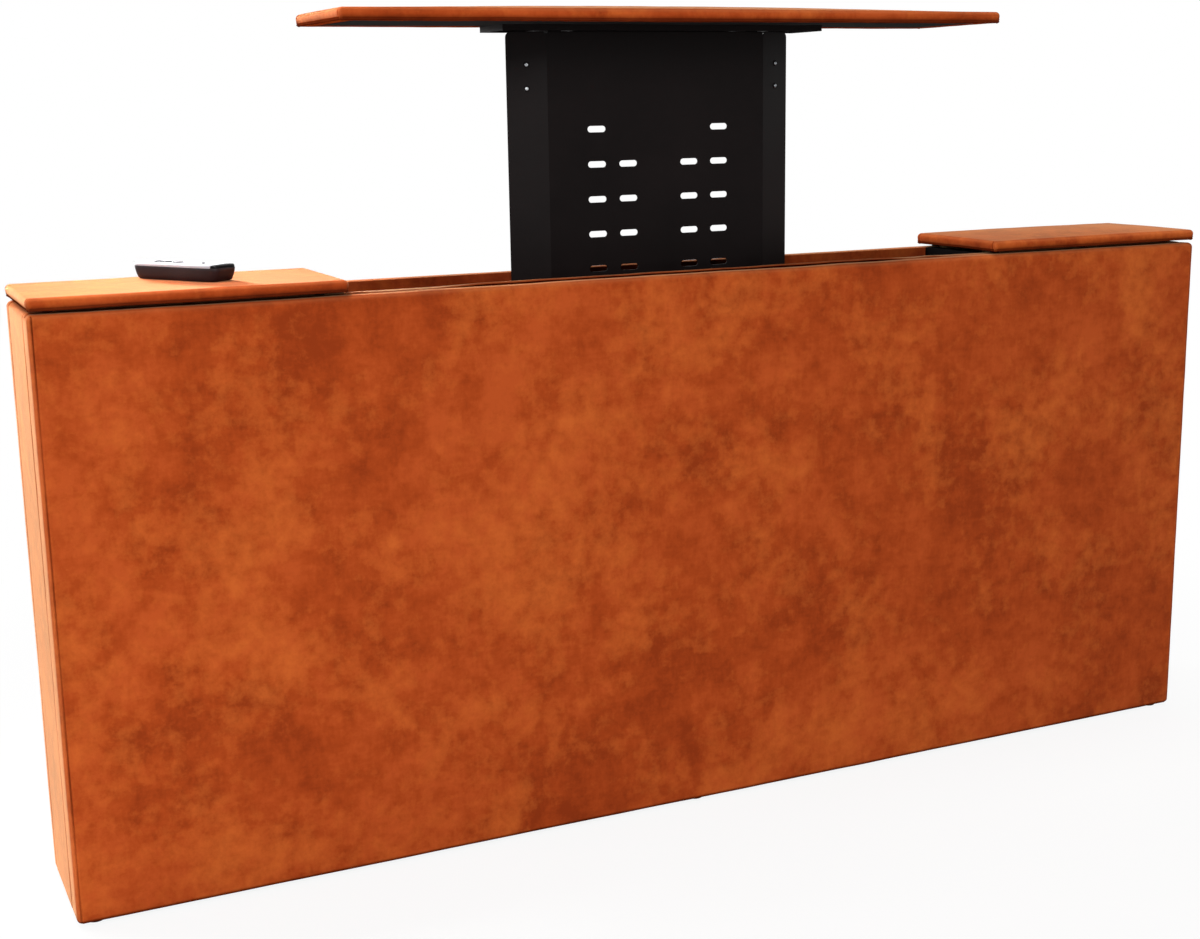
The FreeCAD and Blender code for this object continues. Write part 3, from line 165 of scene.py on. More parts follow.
def suede_cloth(name, dark, middle, light, ember):
    """Brushed suede cloth. Its short nap lies either way in patches, so it is matt and cloudy,
    with a pale bloom where it is seen at a slant."""
    settings = {"Roughness": 0.9, "IOR": 1.45, "Specular IOR Level": 0, "Sheen Roughness": 0.36}
    made, tree, shader, at = begin(name, {**settings, "Sheen Tint": linear("#FFCC9A")})
    patches = specks(tree, at, 190, 3, Distortion=0.4)
    clouds = specks(tree, at, 40, 8, Roughness=0.72, Distortion=0.15)
    large = add(tree, "Mix", {"data_type": "FLOAT", 0: 0.56}, {2: patches, 3: clouds})
    # the backing is woven, and its threads show through the nap as short faint lines across and down
    across = add(tree, "Mapping", {"Scale": (0.22, 0.22, 1)}, at)
    down = add(tree, "Mapping", {"Scale": (1, 1, 0.22)}, at)
    weft = specks(tree, {"Vector": across}, 5, 3)
    warp = specks(tree, {"Vector": down}, 5, 3)
    lines = add(tree, "Mix", {"data_type": "FLOAT", 0: 0.5}, {2: weft, 3: warp})
    nap = add(tree, "Mix", {"data_type": "FLOAT", 0: 0.14}, {2: large, 3: lines})
    shade = add(tree, "ValToRGB", {"stops": [(0.4, dark), (0.5, middle), (0.6, light)]}, {"Fac": nap})
    # here and there the dye has taken more orange. There the nap is broken into small bright tufts
    blooms = specks(tree, at, 150, 4, Distortion=0.3)
    tufts = specks(tree, at, 22, 7, Roughness=0.66)
    broken = add(tree, "Mix", {"data_type": "FLOAT", 0: 0.5}, {2: blooms, 3: tufts})
    patchy = {"From Min": 0.48, "From Max": 0.65, "To Max": 0.66}
    where = add(tree, "MapRange", patchy, {"Value": broken})
    dyed = add(tree, "Mix", {"data_type": "RGBA", 7: linear(ember)}, {0: where, 6: shade})
    # painted shade darkens the cloth in seams, grooves, along lower sides and under edges, and takes its
    # bloom away there. Over a rounded edge the cloth is paler, partly nap worn pale and partly a painted
    # highlight
    painted_shade_share = add(tree, "Attribute", {"attribute_name": "crease"}).outputs["Fac"]
    bloom = add(tree, "MapRange", {"From Max": 0.35, "To Min": 0.7, "To Max": 0}, {"Value": painted_shade_share})
    deep = {"data_type": "RGBA", "blend_type": "MULTIPLY", 7: linear("#5C1A0E")}
    in_painted_shade = add(tree, "Mix", deep, {0: painted_shade_share, 6: dyed.outputs[2]})
    edge = add(tree, "Attribute", {"attribute_name": "rub"}).outputs["Fac"]
    faint = add(tree, "Math", {"operation": "MULTIPLY", 1: 0.16}, {0: edge})
    pale = {"data_type": "RGBA", 7: linear("#DD8A55")}
    worn_and_highlit = add(tree, "Mix", pale, {0: faint, 6: in_painted_shade.outputs[2]})
    # fibres 0.2 mm apart are too fine to show, so they are drawn 1.6 mm apart, over a soft 9 mm quilt
    fibres = specks(tree, at, 1.6, 2)
    soft = specks(tree, at, 9, 3)
    low = add(tree, "Bump", {"Strength": 0.5, "Distance": 0.5 * MM}, {"Height": soft})
    crisp = {"Strength": 0.35, "Distance": 0.25 * MM}
    fine = add(tree, "Bump", crisp, {"Height": fibres, "Normal": low})
    feed(tree, shader, {"Sheen Weight": bloom, "Base Color": worn_and_highlit.outputs[2], "Normal": fine})
    return made


def spunbond_cloth():
    """Black spunbond cloth, the thin pressed sheet under furniture: dull, with rows of fine dimples."""
    settings = {"Roughness": 0.92, "IOR": 1.49, "Specular IOR Level": 0.04}
    dusty = {"Sheen Weight": 0.01, "Sheen Roughness": 0.5}
    made, tree, shader, at = begin("black_spunbond_polypropylene", {**settings, **dusty})
    # the dimples are 1 mm apart, drawn 2.5 mm apart so that they show
    rows = add(tree, "TexVoronoi", {"Scale": each(2.5), "Randomness": 0.25}, at)
    threads = specks(tree, at, 6, 5, Roughness=0.7)
    lay(tree, shader, threads, [(0.35, "#0F0D0D"), (0.65, "#1C1A1A")], (rows, 0.5, 0.3))
    return made


def chipboard():
    """Raw chipboard, pressed from chips about 6 mm long: mottled straw and brown, rough where it is sawn."""
    settings = {"Roughness": 0.8, "IOR": 1.5, "Specular IOR Level": 0.3}
    made, tree, shader, at = begin("pressed_chipboard", settings)
    flat = add(tree, "Mapping", {"Scale": (1, 1.8, 1)}, at)
    chips = add(tree, "TexVoronoi", {"Scale": each(6), "Randomness": 1}, {"Vector": flat})
    dust = specks(tree, at, 1.5, 4)
    stops = [(0.0, "#8A6A45"), (0.5, "#B08E62"), (1.0, "#C9AC80")]
    lay(tree, shader, chips.outputs["Color"], stops, (dust, 0.6, 0.4))
    return made


def melamine_board():
    """Black melamine-faced board: a hard, even black with the fine pebble of its press plate."""
    settings = {"Roughness": 0.6, "IOR": 1.54, "Specular IOR Level": 0.03}
    made, tree, shader, at = begin("black_melamine_board", settings)
    pebble = specks(tree, at, 1.4, 2)
    scuffs = specks(tree, at, 70, 5, Distortion=1)
    lay(tree, shader, scuffs, [(0.3, "#080606"), (0.7, "#0E0B0B")], (pebble, 0.25, 0.1))
    return made


def powder_coat():
    """Satin black powder coat, baked on steel: nearly black and slightly warm, with the slow orange peel
    that melted powder leaves, and faint dusty scuffs."""
    made, tree, shader, at = begin("satin_black_powder_coat", {"IOR": 1.5, "Specular IOR Level": 0.09})
    # real peel is 1 to 2 mm across, drawn 2.4 mm
    peel = specks(tree, at, 2.4, 1)
    scuffs = specks(tree, at, 110, 6, Roughness=0.62)
    lay(tree, shader, scuffs, [(0.3, "#0B0606"), (0.72, "#120C0C")], (peel, 0.22, 0.12), (0.4, 0.52))
    return made


def zinc_plate():
    """Bright zinc plate on rolled steel: pale grey with a blue cast, cloudy, and scored along the rolling."""
    made, tree, shader, at = begin("bright_zinc_plated_steel", {"Metallic": 1})
    along = add(tree, "Mapping", {"Scale": (1, 1, 0.02)}, at)
    scores = specks(tree, {"Vector": along}, 0.9, 3)
    clouds = specks(tree, at, 24, 4, Distortion=0.6)
    lay(tree, shader, clouds, [(0.3, "#9EA3A8"), (0.7, "#CDD0D2")], (scores, 0.12, 0.05), (0.26, 0.44))
    return made


def ground_steel():
    """Ground and oiled steel bar: bright, with fine rings round it from the grinding wheel."""
    made, tree, shader, at = begin("centreless_ground_steel", {"Metallic": 1})
    round_it = add(tree, "Mapping", {"Scale": (0.05, 0.05, 1)}, at)
    rings = specks(tree, {"Vector": round_it}, 0.8, 3)
    oil = specks(tree, at, 35, 4)
    lay(tree, shader, oil, [(0.3, "#A9A8A4"), (0.7, "#CFCDC8")], (rings, 0.1, 0.04), (0.14, 0.26))
    return made


def moulded_plastic(name, dark, light, roughness, grain, shine=0.5):
    """A moulded plastic with a spark-eroded skin: even in colour, its grain this many mm across."""
    made, tree, shader, at = begin(name, {"IOR": 1.53, "Specular IOR Level": shine})
    tone = specks(tree, at, 40, 4)
    skin = specks(tree, at, grain, 2)
    gloss = (roughness - 0.05, roughness + 0.05)
    lay(tree, shader, tone, [(0.3, dark), (0.7, light)], (skin, 0.25, 0.08), gloss)
    return made


def painted_casting():
    """Die-cast zinc under grey lacquer: a soft satin grey over the faint lumps of the casting."""
    made, tree, shader, at = begin("lacquered_die_cast_zinc", {"Metallic": 0.35, "IOR": 1.5})
    lumps = specks(tree, at, 5, 4)
    lay(tree, shader, lumps, [(0.3, "#5B5E61"), (0.7, "#74777A")], (lumps, 0.3, 0.15), (0.36, 0.5))
    return made


def circuit_board():
    """Glass-epoxy board under green solder mask, through which the copper tracks show as paler lines."""
    made, tree, shader, at = begin("green_solder_mask", {"Roughness": 0.3, "IOR": 1.55, "Coat Weight": 0.4})
    greens = {"Color1": linear("#1C5A32"), "Color2": linear("#226A3B"), "Mortar": linear("#4B8F4E")}
    tracks = add(tree, "TexBrick", {"Scale": each(8), "Mortar Size": 0.03, **greens}, at)
    glass = specks(tree, at, 1.2, 2)
    bump = add(tree, "Bump", {"Strength": 0.2, "Distance": 0.05 * MM}, {"Height": glass})
    feed(tree, shader, {"Base Color": tracks, "Normal": bump})
    return made


SUEDE = ("#8B3515", "#A2421A", "#B34E22", "#C8652B")
# the lining inside the bay is the same cloth with painted shade: its tones are darker
BAY_SUEDE_IN_PAINTED_SHADE = ("#5E210D", "#742B11", "#863819", "#94461C")

MATERIALS = {
    "upholstery": suede_cloth("rust_brushed_suede_cloth", *SUEDE),
    "bay_cloth": suede_cloth("rust_suede_lining_in_painted_shade", *BAY_SUEDE_IN_PAINTED_SHADE),
    "black_cloth": spunbond_cloth(),
    "carcass_board": chipboard(),
    "black_board": melamine_board(),
    "hard_plastic": moulded_plastic("black_moulded_abs", "#141315", "#1D1C1E", 0.45, 1.0, 0.25),
    "black_powder_coat": powder_coat(),
    "zinc_steel": zinc_plate(),
    "steel_bar": ground_steel(),
    "slide_plastic": moulded_plastic("white_moulded_acetal", "#D6D5CE", "#E6E5DF", 0.4, 1.2),
    "nut_plastic": moulded_plastic("natural_cast_nylon", "#CFC8B2", "#DDD7C4", 0.5, 1.5),
    "cast_housing": painted_casting(),
    "cable_jacket": moulded_plastic("black_extruded_pvc", "#121213", "#1C1C1E", 0.5, 1.4),
    "circuit_board": circuit_board(),
    "remote_shell": moulded_plastic("charcoal_moulded_abs", "#1F1719", "#281F21", 0.42, 0.9, 0.16),
    "window": moulded_plastic("glossy_black_acrylic", "#0B090B", "#100E10", 0.14, 3.0, 0.1),
    "remote_top": moulded_plastic("silver_lacquered_abs", "#A5A3A9", "#B4B2B8", 0.34, 1.1, 0.4),
    "key_rubber": moulded_plastic("dark_moulded_silicone", "#1B191C", "#252326", 0.62, 0.8, 0.06),
    "battery_can": moulded_plastic("shrink_sleeved_battery", "#1D2A3C", "#28405C", 0.3, 2.0),
}


# -------------------- mesh helpers

# hard pieces keep an edge sharp where it turns by more than this angle
SHARP_ANGLE = 35
# grid lines come no closer than this
CLOSEST_LINES = 0.2 * MM
# the angles across half a rolled edge at which it has grid lines
ROLL_ANGLES = (0, 11, 22, 33, 45)
# how far a rolled edge's normal has left its nearest axis at the middle of the turn
TURN_MIDDLE = 0.29


def wave(place, size, seed):
    """A smooth random number from -1 to 1 that changes over about this size, the same in each run."""
    return noise.noise(Vector(place) / size + Vector((seed * 7.31, seed * 3.17, seed * 5.73)))


def ditch(distance, half_width):
    """How deep a rounded groove is at this distance from its middle line, from 0 to 1."""
    return math.exp(-((distance / half_width) ** 2))


def ease(share):
    """A soft step from 0 to 1."""
    share = min(max(share, 0), 1)
    return share * share * (3 - 2 * share)


def circle(count):
    """The cosine and sine of this many directions all round."""
    return [(math.cos(math.tau * i / count), math.sin(math.tau * i / count)) for i in range(count)]


def grid_lines(low, high, step, rolls, finer=()):
    """Grid lines from low to high, closer over a rolled edge and about each finer (place, reach, step)."""
    turns = [math.tan(math.radians(a)) for a in ROLL_ANGLES]
    start, end = low + rolls[0], high - rolls[1]
    count = max(1, round((end - start) / step))
    places = [start + (end - start) * i / count for i in range(count + 1)]
    wanted = [low, high]
    wanted += [start - rolls[0] * t for t in turns] + [end + rolls[1] * t for t in turns]
    for place, reach, fine in finer:
        half = int(reach / fine)
        wanted += [place + k * fine for k in range(-half, half + 1)]
    wanted = sorted(w for w in wanted if low - TINY <= w <= high + TINY)
    kept = []
    for w in wanted:
        if not kept or w - kept[-1] > CLOSEST_LINES:
            kept.append(w)
    kept[-1] = high
    spare = [p for p in places if all(abs(p - w) > 0.3 * step for w in kept)]
    return sorted(kept + spare)


def put(name, data):
    """An object in the scene that shows this data."""
    made = bpy.data.objects.new(name, data)
    bpy.context.scene.collection.objects.link(made)
    return made


def new_object(name, points, faces, smooth=True):
    """A piece in the scene, of its own mesh."""
    mesh = bpy.data.meshes.new(name)
    mesh.from_pydata([tuple(p) for p in points], [], faces)
    mesh.update()
    mesh.polygons.foreach_set("use_smooth", [smooth] * len(mesh.polygons))
    return put(name, mesh)


def loft(name, rings, closed=False):
    """A hard piece through rings of as many points each, its faces turned outwards. Its ends are filled,
    unless it is closed into a loop."""
    count, wide = len(rings), len(rings[0])
    points = [point for ring in rings for point in ring]
    faces = [] if closed else [tuple(range(wide)), tuple(range((count - 1) * wide, len(points)))]
    for k in range(count if closed else count - 1):
        near, far = k * wide, (k + 1) % count * wide
        for i in range(wide):
            j = (i + 1) % wide
            faces.append((near + i, near + j, far + j, far + i))
    made = new_object(name, points, faces)
    work = bmesh.new()
    work.from_mesh(made.data)
    bmesh.ops.recalc_face_normals(work, faces=work.faces)
    work.to_mesh(made.data)
    work.free()
    made.data.set_sharp_from_angle(angle=math.radians(SHARP_ANGLE))
    return made


def turned(name, profile, count):
    """A solid of revolution about z, from (radius, level) pairs in mm that run from its top down."""
    round_it = circle(count)
    rings = []
    for radius, level in profile:
        radius = max(radius, 0.02)
        rings.append([(radius * c * MM, radius * s * MM, level * MM) for c, s in round_it])
    return loft(name, rings)


def join(name, pieces):
    """One object of several, which all have the identity as their place."""
    work = bmesh.new()
    for piece in pieces:
        work.from_mesh(piece.data)
    mesh = bpy.data.meshes.new(name)
    work.to_mesh(mesh)
    work.free()
    for piece in pieces:
        bpy.data.objects.remove(piece)
    return put(name, mesh)


def mark(made, name, values):
    """Keeps one number a vertex, such as how much painted shade it carries, for the material to read."""
    made.data.attributes.new(name, "FLOAT", "POINT").data.foreach_set("value", values)


def thicken(made, depth):
    """Gives cloth its padding, on its inner side."""
    solid = made.modifiers.new("padding", "SOLIDIFY")
    solid.thickness = depth
    solid.offset = -1
    solid.use_even_offset = True


def in_order(axis, values):
    """Three values, given for this axis and for the two after it, in the order x, y, z."""
    return tuple(values[(k - axis) % 3] for k in range(3))


def wrap(name, box, grids, roll, padding, keep, shape, open_sides=()):
    """Padded cloth round a box. grids are the step and the finer lines along x, y and z, and roll is how
    round its edges are, except towards an open side. keep(side, place) says which faces are there.
    shape(place, normal) gives each point's shift and how much painted shade lies on it."""
    low, high = box
    rolls = [[0 if axis + end in open_sides else roll for end in "-+"] for axis in "xyz"]
    axes = [grid_lines(low[i], high[i], grids[i][0], rolls[i], grids[i][1]) for i in range(3)]
    core_low = [low[i] + rolls[i][0] for i in range(3)]
    core_high = [high[i] - rolls[i][1] for i in range(3)]
    index, points, painted_shades, rubs_and_highlights, faces = {}, [], [], [], []

    def corner(key):
        if key in index:
            return index[key]
        flat = Vector(axes[i][key[i]] for i in range(3))
        core = Vector(min(max(flat[i], core_low[i]), core_high[i]) for i in range(3))
        away = flat - core
        outside = away.length > TINY
        normal = away.normalized() if outside else Vector()
        shift, crease = shape(flat, normal)
        crease = min(max(crease, 0), 1)
        # the nap is rubbed paler, with a painted highlight, most at the middle of a turn, but not where
        # painted shade lies
        turn = min(1, (1 - max(abs(c) for c in normal)) / TURN_MIDDLE) if outside else 0
        index[key] = len(points)
        points.append((core + normal * roll if outside else flat) + shift)
        painted_shades.append(crease)
        rubs_and_highlights.append(turn * (1 - crease))
        return index[key]

    for axis, end in product(range(3), (0, 1)):
        side = "xyz"[axis] + "-+"[end]
        if side in open_sides:
            continue
        away, across, along = (axes[(axis + k) % 3] for k in range(3))
        edge = end * (len(away) - 1)
        for i, j in product(range(len(across) - 1), range(len(along) - 1)):
            middle = away[edge], (across[i] + across[i + 1]) / 2, (along[j] + along[j + 1]) / 2
            if keep(side, Vector(in_order(axis, middle))):
                cell = (i, j), (i + 1, j), (i + 1, j + 1), (i, j + 1)
                ring = [corner(in_order(axis, (edge, *at))) for at in cell]
                faces.append(ring if end else ring[::-1])
    made = new_object(name, points, faces)
    mark(made, "crease", painted_shades)
    mark(made, "rub", rubs_and_highlights)
    thicken(made, padding)
    return made


def settle(made, body, slot, *nodes, finish=None):
    """Sets a piece's finish, what it rides on and the nodes it stands for."""
    made.data.materials.clear()
    made.data.materials.append(MATERIALS[finish or slot])
    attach(made, body)
    if nodes:
        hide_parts(*nodes)
    return made


# -------------------- upholstery


def slack(place, normal):
    """The slight unevenness of cloth stretched over thin foam."""
    return normal * (0.5 * wave(place, 0.16, 1) + 0.22 * wave(place, 0.045, 2)) * MM


def corner_seam(place):
    """The seam down each front corner. It is sewn tighter in some places than in others."""
    off = HALF_WIDTH - CORNER_SEAM - abs(place.x)
    tight = 0.75 + 0.35 * wave((0, 0, place.z), 0.11, 5)
    groove = ditch(off, 1.5 * MM) * tight
    lips = 0.3 * (ditch(off - 3.4 * MM, 1.6 * MM) + ditch(off + 3.4 * MM, 1.6 * MM))
    return groove, lips


def underneath(normal):
    """How deep in shade cloth lies that turns under an edge."""
    return 0.85 * ease(-1.6 * normal.z)


def front_shape(place, normal):
    """How the front cloth lies: drawn in along its seams, and stapled down where it turns in at the top.
    Painted shade lies in its seams, along the turned-in edge and under its bottom edge.
    """
    shift = slack(place, normal)
    groove, lips = corner_seam(place)
    crease = underneath(normal)
    # the corner seams draw the cloth in, and painted shade lies in their groove
    if normal.y < -0.3:
        shift += normal * (lips * 0.5 - groove * 1.7) * MM
        crease = max(crease, 0.85 * groove)
    # the tucked side seams draw the cloth in, with a little painted shade in them
    tuck = ditch(place.y - FRONT_SEAM, SIDE_SEAM) if abs(normal.x) > 0.5 else 0
    shift -= normal * tuck * SIDE_TUCK
    if normal.z > 0.5:
        # the turned-in edge dips and wanders, with painted shade along it
        edge = ditch(place.y - (FRONT_FACE + TOP_TURN), 3 * MM)
        shift.z -= edge * 1.6 * MM
        shift.z += 0.6 * wave(place, 0.07, 3) * MM
        shift.y += edge * 1.2 * wave((place.x, 0, 0), 0.09, 4) * MM
        crease = max(crease, 0.6 * edge)
    return shift, max(crease, 0.2 * tuck)


def make_front_cover():
    """One length of cloth over the front, round both corners and over the top edge, where it is turned in."""
    low, high = box = corners_of("front_cover")
    high.y -= SEAM_GAP
    turn = FRONT_FACE + TOP_TURN
    seams = [(side * (HALF_WIDTH - CORNER_SEAM), SEAM_REACH, 0.8 * MM) for side in (LEFT, RIGHT)]
    hems = [(HALF_WIDTH - TOP_TURN, 0, 1), (TOP_TURN - HALF_WIDTH, 0, 1)]
    edges = [(turn, 4 * MM, SEAM_GRID), (high.y, SEAM_REACH, SEAM_GRID)]
    grids = [(PANEL_GRID, seams + hems), (PANEL_GRID, edges), (PANEL_GRID, [])]

    def keep(side, place):
        if side == "z+":
            return place.y < turn or abs(place.x) > HALF_WIDTH - TOP_TURN
        if side == "z-":
            return place.y < FRONT_FACE + BOTTOM_TURN or abs(place.x) > HALF_WIDTH - BOTTOM_TURN
        return True

    made = wrap("front_suede_cover", box, grids, EDGE_ROLL, WALL_PADDING, keep, front_shape, ["y+"])
    settle(made, "cabinet", "upholstery", "front_cover")


# the grid about the cable outlet
OUTLET_GRID = 4 * MM


def from_outlet(place):
    """How far a place is from the middle of the cable outlet."""
    return math.hypot(place.x - OUTLET.x, place.z - OUTLET.z)


def hug_outlet(place, reach):
    """The shift that brings a point near the hole onto its round edge, and how far off that edge it was."""
    off = from_outlet(place) - reach
    if abs(off) >= 0.75 * OUTLET_GRID:
        return Vector(), off
    outward = Vector((place.x - OUTLET.x, 0, place.z - OUTLET.z)).normalized()
    return -outward * off, off


def outlet_lines(middle, reach):
    """Closer grid lines about the outlet."""
    return [(middle, reach + 3 * OUTLET_GRID, OUTLET_GRID)]


def make_back_cover():
    """One length of cloth over the back, cut round the cable outlet, whose flange presses it in."""
    low, high = box = corners_of("back_cover")
    low.y += SEAM_GAP
    outlet_low, outlet_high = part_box("cable_outlet")
    reach = (outlet_high.x - outlet_low.x) / 2 + 0.3 * MM

    def shape(place, normal):
        shift = slack(place + Vector((0.7, 0, 0.3)), normal)
        tuck = ditch(place.y - BACK_SEAM, SIDE_SEAM) if abs(normal.x) > 0.5 else 0
        shift -= normal * tuck * SIDE_TUCK
        if normal.y > 0.5:
            inward, off = hug_outlet(place, reach)
            shift += inward
            shift -= normal * ditch(off, 5 * MM) * 0.8 * MM
        # painted shade lies lightly in the tucked seams and deeper under the bottom edge
        return shift, max(0.2 * tuck, underneath(normal))

    def keep(side, place):
        if side == "z-":
            return place.y > BACK_FACE - BOTTOM_TURN or abs(place.x) > HALF_WIDTH - BOTTOM_TURN
        return side != "y+" or from_outlet(place) > reach

    grids = [
        (PANEL_GRID, outlet_lines(OUTLET.x, reach)),
        (PANEL_GRID, [(low.y, SEAM_REACH, SEAM_GRID)]),
        (PANEL_GRID, outlet_lines(OUTLET.z, reach)),
    ]
    made = wrap("back_suede_cover", box, grids, EDGE_ROLL, WALL_PADDING, keep, shape, ["y-"])
    settle(made, "cabinet", "upholstery", "back_cover")


def make_end_cover(side):
    """Cloth over one end. It meets the front and the back cloth in a tucked seam."""
    name = "left" if side == LEFT else "right"
    low, high = box = corners_of(f"{name}_end_cover")
    low.y += SEAM_GAP
    high.y -= SEAM_GAP

    def shape(place, normal):
        shift = slack(place + Vector((0, 0.4 * side, 0.9)), normal)
        tuck = max(ditch(place.y - FRONT_SEAM, SIDE_SEAM), ditch(place.y - BACK_SEAM, SIDE_SEAM))
        shift -= normal * tuck * SIDE_TUCK
        # painted shade lies lightly in the tucked seams and deeper under the bottom edge
        return shift, max(0.2 * tuck, underneath(normal))

    seams = [(low.y, SEAM_REACH, SEAM_GRID), (high.y, SEAM_REACH, SEAM_GRID)]
    grids = [(PANEL_GRID, []), (PANEL_GRID, seams), (PANEL_GRID, [])]
    open_sides = ["y-", "y+", "x+" if side == LEFT else "x-"]
    made = wrap(f"{name}_end_suede", box, grids, EDGE_ROLL, WALL_PADDING, lambda *_: True, shape, open_sides)
    settle(made, "cabinet", "upholstery", f"{name}_end_cover")


# the front lining's loose edge rises between these two places, and in a small puff beside each end lid
RISES = (-0.405, 0.4)
PUFFS = (-0.497, 0.42)
LINING_ROLL = 2.8 * MM
LINING_PADDING = 2.4 * MM
LINING_LIP = 5 * MM


def standing(x):
    """How far the lining's rolled edge stands up behind the cover. It lies down close beside the end lids."""
    left = 0.5 * ditch(x - PUFFS[0], 16 * MM) + ease((x - RISES[0]) / 0.1) * (x < 0)
    right = ease((RISES[1] - x) / 0.09) * (x >= 0) + 0.6 * ditch(x - PUFFS[1], 18 * MM)
    return (left + right) * (1 + 0.3 * wave((x, 0, 0), 0.07, 8))


def make_front_lining():
    """Cloth-faced hardboard inside the front wall, turned over the wall's top as a loose rolled edge."""
    low, high = box = corners_of("front_lining")

    def shape(place, normal):
        shift = slack(place + Vector((0.2, 0.5, 0)), normal)
        over = ease((place.z - (high.z - 20 * MM)) / (20 * MM))
        front = ease((high.y - 3 * MM - place.y) / (12 * MM))
        stand = standing(place.x)
        shift.y += front * (1.5 * stand - 2.8) * MM
        shift.z += over * (0.2 + 2.8 * stand * (0.4 + 0.6 * front)) * MM
        # the front of the roll is in the shadow between it and the cover
        shadow = front * (1 - ease((place.z - (high.z - 2.6 * MM)) / (2 * MM)))
        return shift, 0.95 * shadow

    def keep(side, place):
        if side == "y-":
            return place.z > high.z - LINING_LIP
        return side != "z-"

    grids = [(PANEL_GRID, []), (4 * MM, []), (2 * PANEL_GRID, [(high.z - LINING_LIP, 0, 1)])]
    open_sides = ["x-", "x+", "z-"]
    made = wrap("front_bay_lining", box, grids, LINING_ROLL, LINING_PADDING, keep, shape, open_sides)
    settle(made, "cabinet", "bay_cloth", "front_lining")


# the sleeve's radius inside the bay, and how round the flat lining's edges are and how thick its cloth
SLEEVE_RADIUS = 20 * MM
BOARD_ROLL, BOARD_CLOTH = 1.2 * MM, 1 * MM


def make_back_lining():
    """Cloth-faced hardboard inside the back wall, cut round the cable outlet."""
    low, high = box = corners_of("back_lining")
    high.y -= SEAM_GAP
    reach = SLEEVE_RADIUS + 0.3 * MM

    def shape(place, normal):
        shift = slack(place + Vector((0.1, 0.8, 0)), normal)
        return shift + hug_outlet(place, reach)[0], 0

    def keep(side, place):
        return side != "y-" or from_outlet(place) > reach

    across, up = outlet_lines(OUTLET.x, reach), outlet_lines(OUTLET.z, reach)
    grids = [(PANEL_GRID, across), (3 * MM, []), (2 * PANEL_GRID, up)]
    open_sides = ["x-", "x+", "y+", "z-"]
    made = wrap("back_bay_lining", box, grids, BOARD_ROLL, BOARD_CLOTH, keep, shape, open_sides)
    settle(made, "cabinet", "bay_cloth", "back_lining")


# how high the padding crowns a lid. The handset lies on the left one, which stays flat
CROWNS = {"left_lid": 0, "right_lid": 6.0 * MM, "middle_lid": 8.0 * MM}
# how far the cloth is turned under a lid, and how far from its corners the pleats are
HEM = 22 * MM
PLEAT = 8 * MM
# how far up a lid's side the cloth is drawn in
DRAW_IN = 11 * MM


def make_lid(name, body):
    """An upholstered lid: suede pulled over the board and stapled below, its corners folded in a pleat."""
    low, high = box = corners_of(f"{name}_cover")
    middle = (low + high) / 2
    half = (high - low) / 2

    def shape(place, normal):
        shift = slack(place + Vector((0, 0, 0.4)), normal)
        across = min(1, abs(place.x - middle.x) / half.x)
        deep = min(1, abs(place.y - middle.y) / half.y)
        if normal.z > 0:
            shift.z += CROWNS[name] * (1 - across**2.6) * (1 - deep**2.2) * normal.z
        crease = 0
        if abs(normal.z) < 0.6:
            # the cloth is pulled in under the lid, and the hem wanders where the staples pull it. Painted
            # shade darkens the lower side, more on the front and back faces than on the ends
            lower = 1 - ease((place.z - low.z) / DRAW_IN)
            pull = 0.35 * wave((place.x, place.y, 0), 0.05, 11) - 1.0
            shift += normal * lower * pull * MM
            crease = (0.75 if abs(normal.y) > 0.5 else 0.3) * lower
        if -0.97 < normal.z < -0.6:
            # where it turns under, it stands off the board's sharp edge
            shift += normal * 0.9 * MM
        if normal.z < -0.2:
            # the folded pleat makes each lower corner thicker
            shift += normal * ease(2.4 * min(abs(normal.x), abs(normal.y))) * MM
        # the pleats at the ends draw the cloth into a groove, with painted shade in it
        if abs(normal.x) > 0.5:
            groove = ditch(half.y - PLEAT - abs(place.y - middle.y), 1.3 * MM)
            shift -= normal * groove * 1.3 * MM
            crease = max(crease, 0.6 * groove)
        # underneath there is painted shade, lighter on the flat hem and deepest on the turn under the edge
        if normal.z < -0.5:
            shift.z += 0.35 * wave(place, 0.03, 12) * MM
            crease = 0.35 if normal.z < -0.95 else 0.85
        return shift, crease

    def keep(side, place):
        inside = abs(place.x - middle.x) < half.x - HEM and abs(place.y - middle.y) < half.y - HEM
        return side != "z-" or not inside

    hems = [(edge, 0, 1) for edge in (low.x + HEM, high.x - HEM)]
    pleats = [(middle.y + s * (half.y - PLEAT), 3 * MM, 0.75 * MM) for s in (-1, 1)]
    pleats += [(middle.y + s * (half.y - HEM), 0, 1) for s in (-1, 1)]
    grids = [(PANEL_GRID, hems), (PANEL_GRID, pleats), (2 * MM, [])]
    made = wrap(f"{name}_suede", box, grids, LID_ROLL, LID_PADDING, keep, shape)
    settle(made, body, "upholstery", f"{name}_cover")


# the cloth under the lids: its grid, how thick it is, and how far in from its edge it hangs free
CLOTH_GRID = 12 * MM
DUST_CLOTH = 0.5 * MM
FREE_FROM = 40 * MM


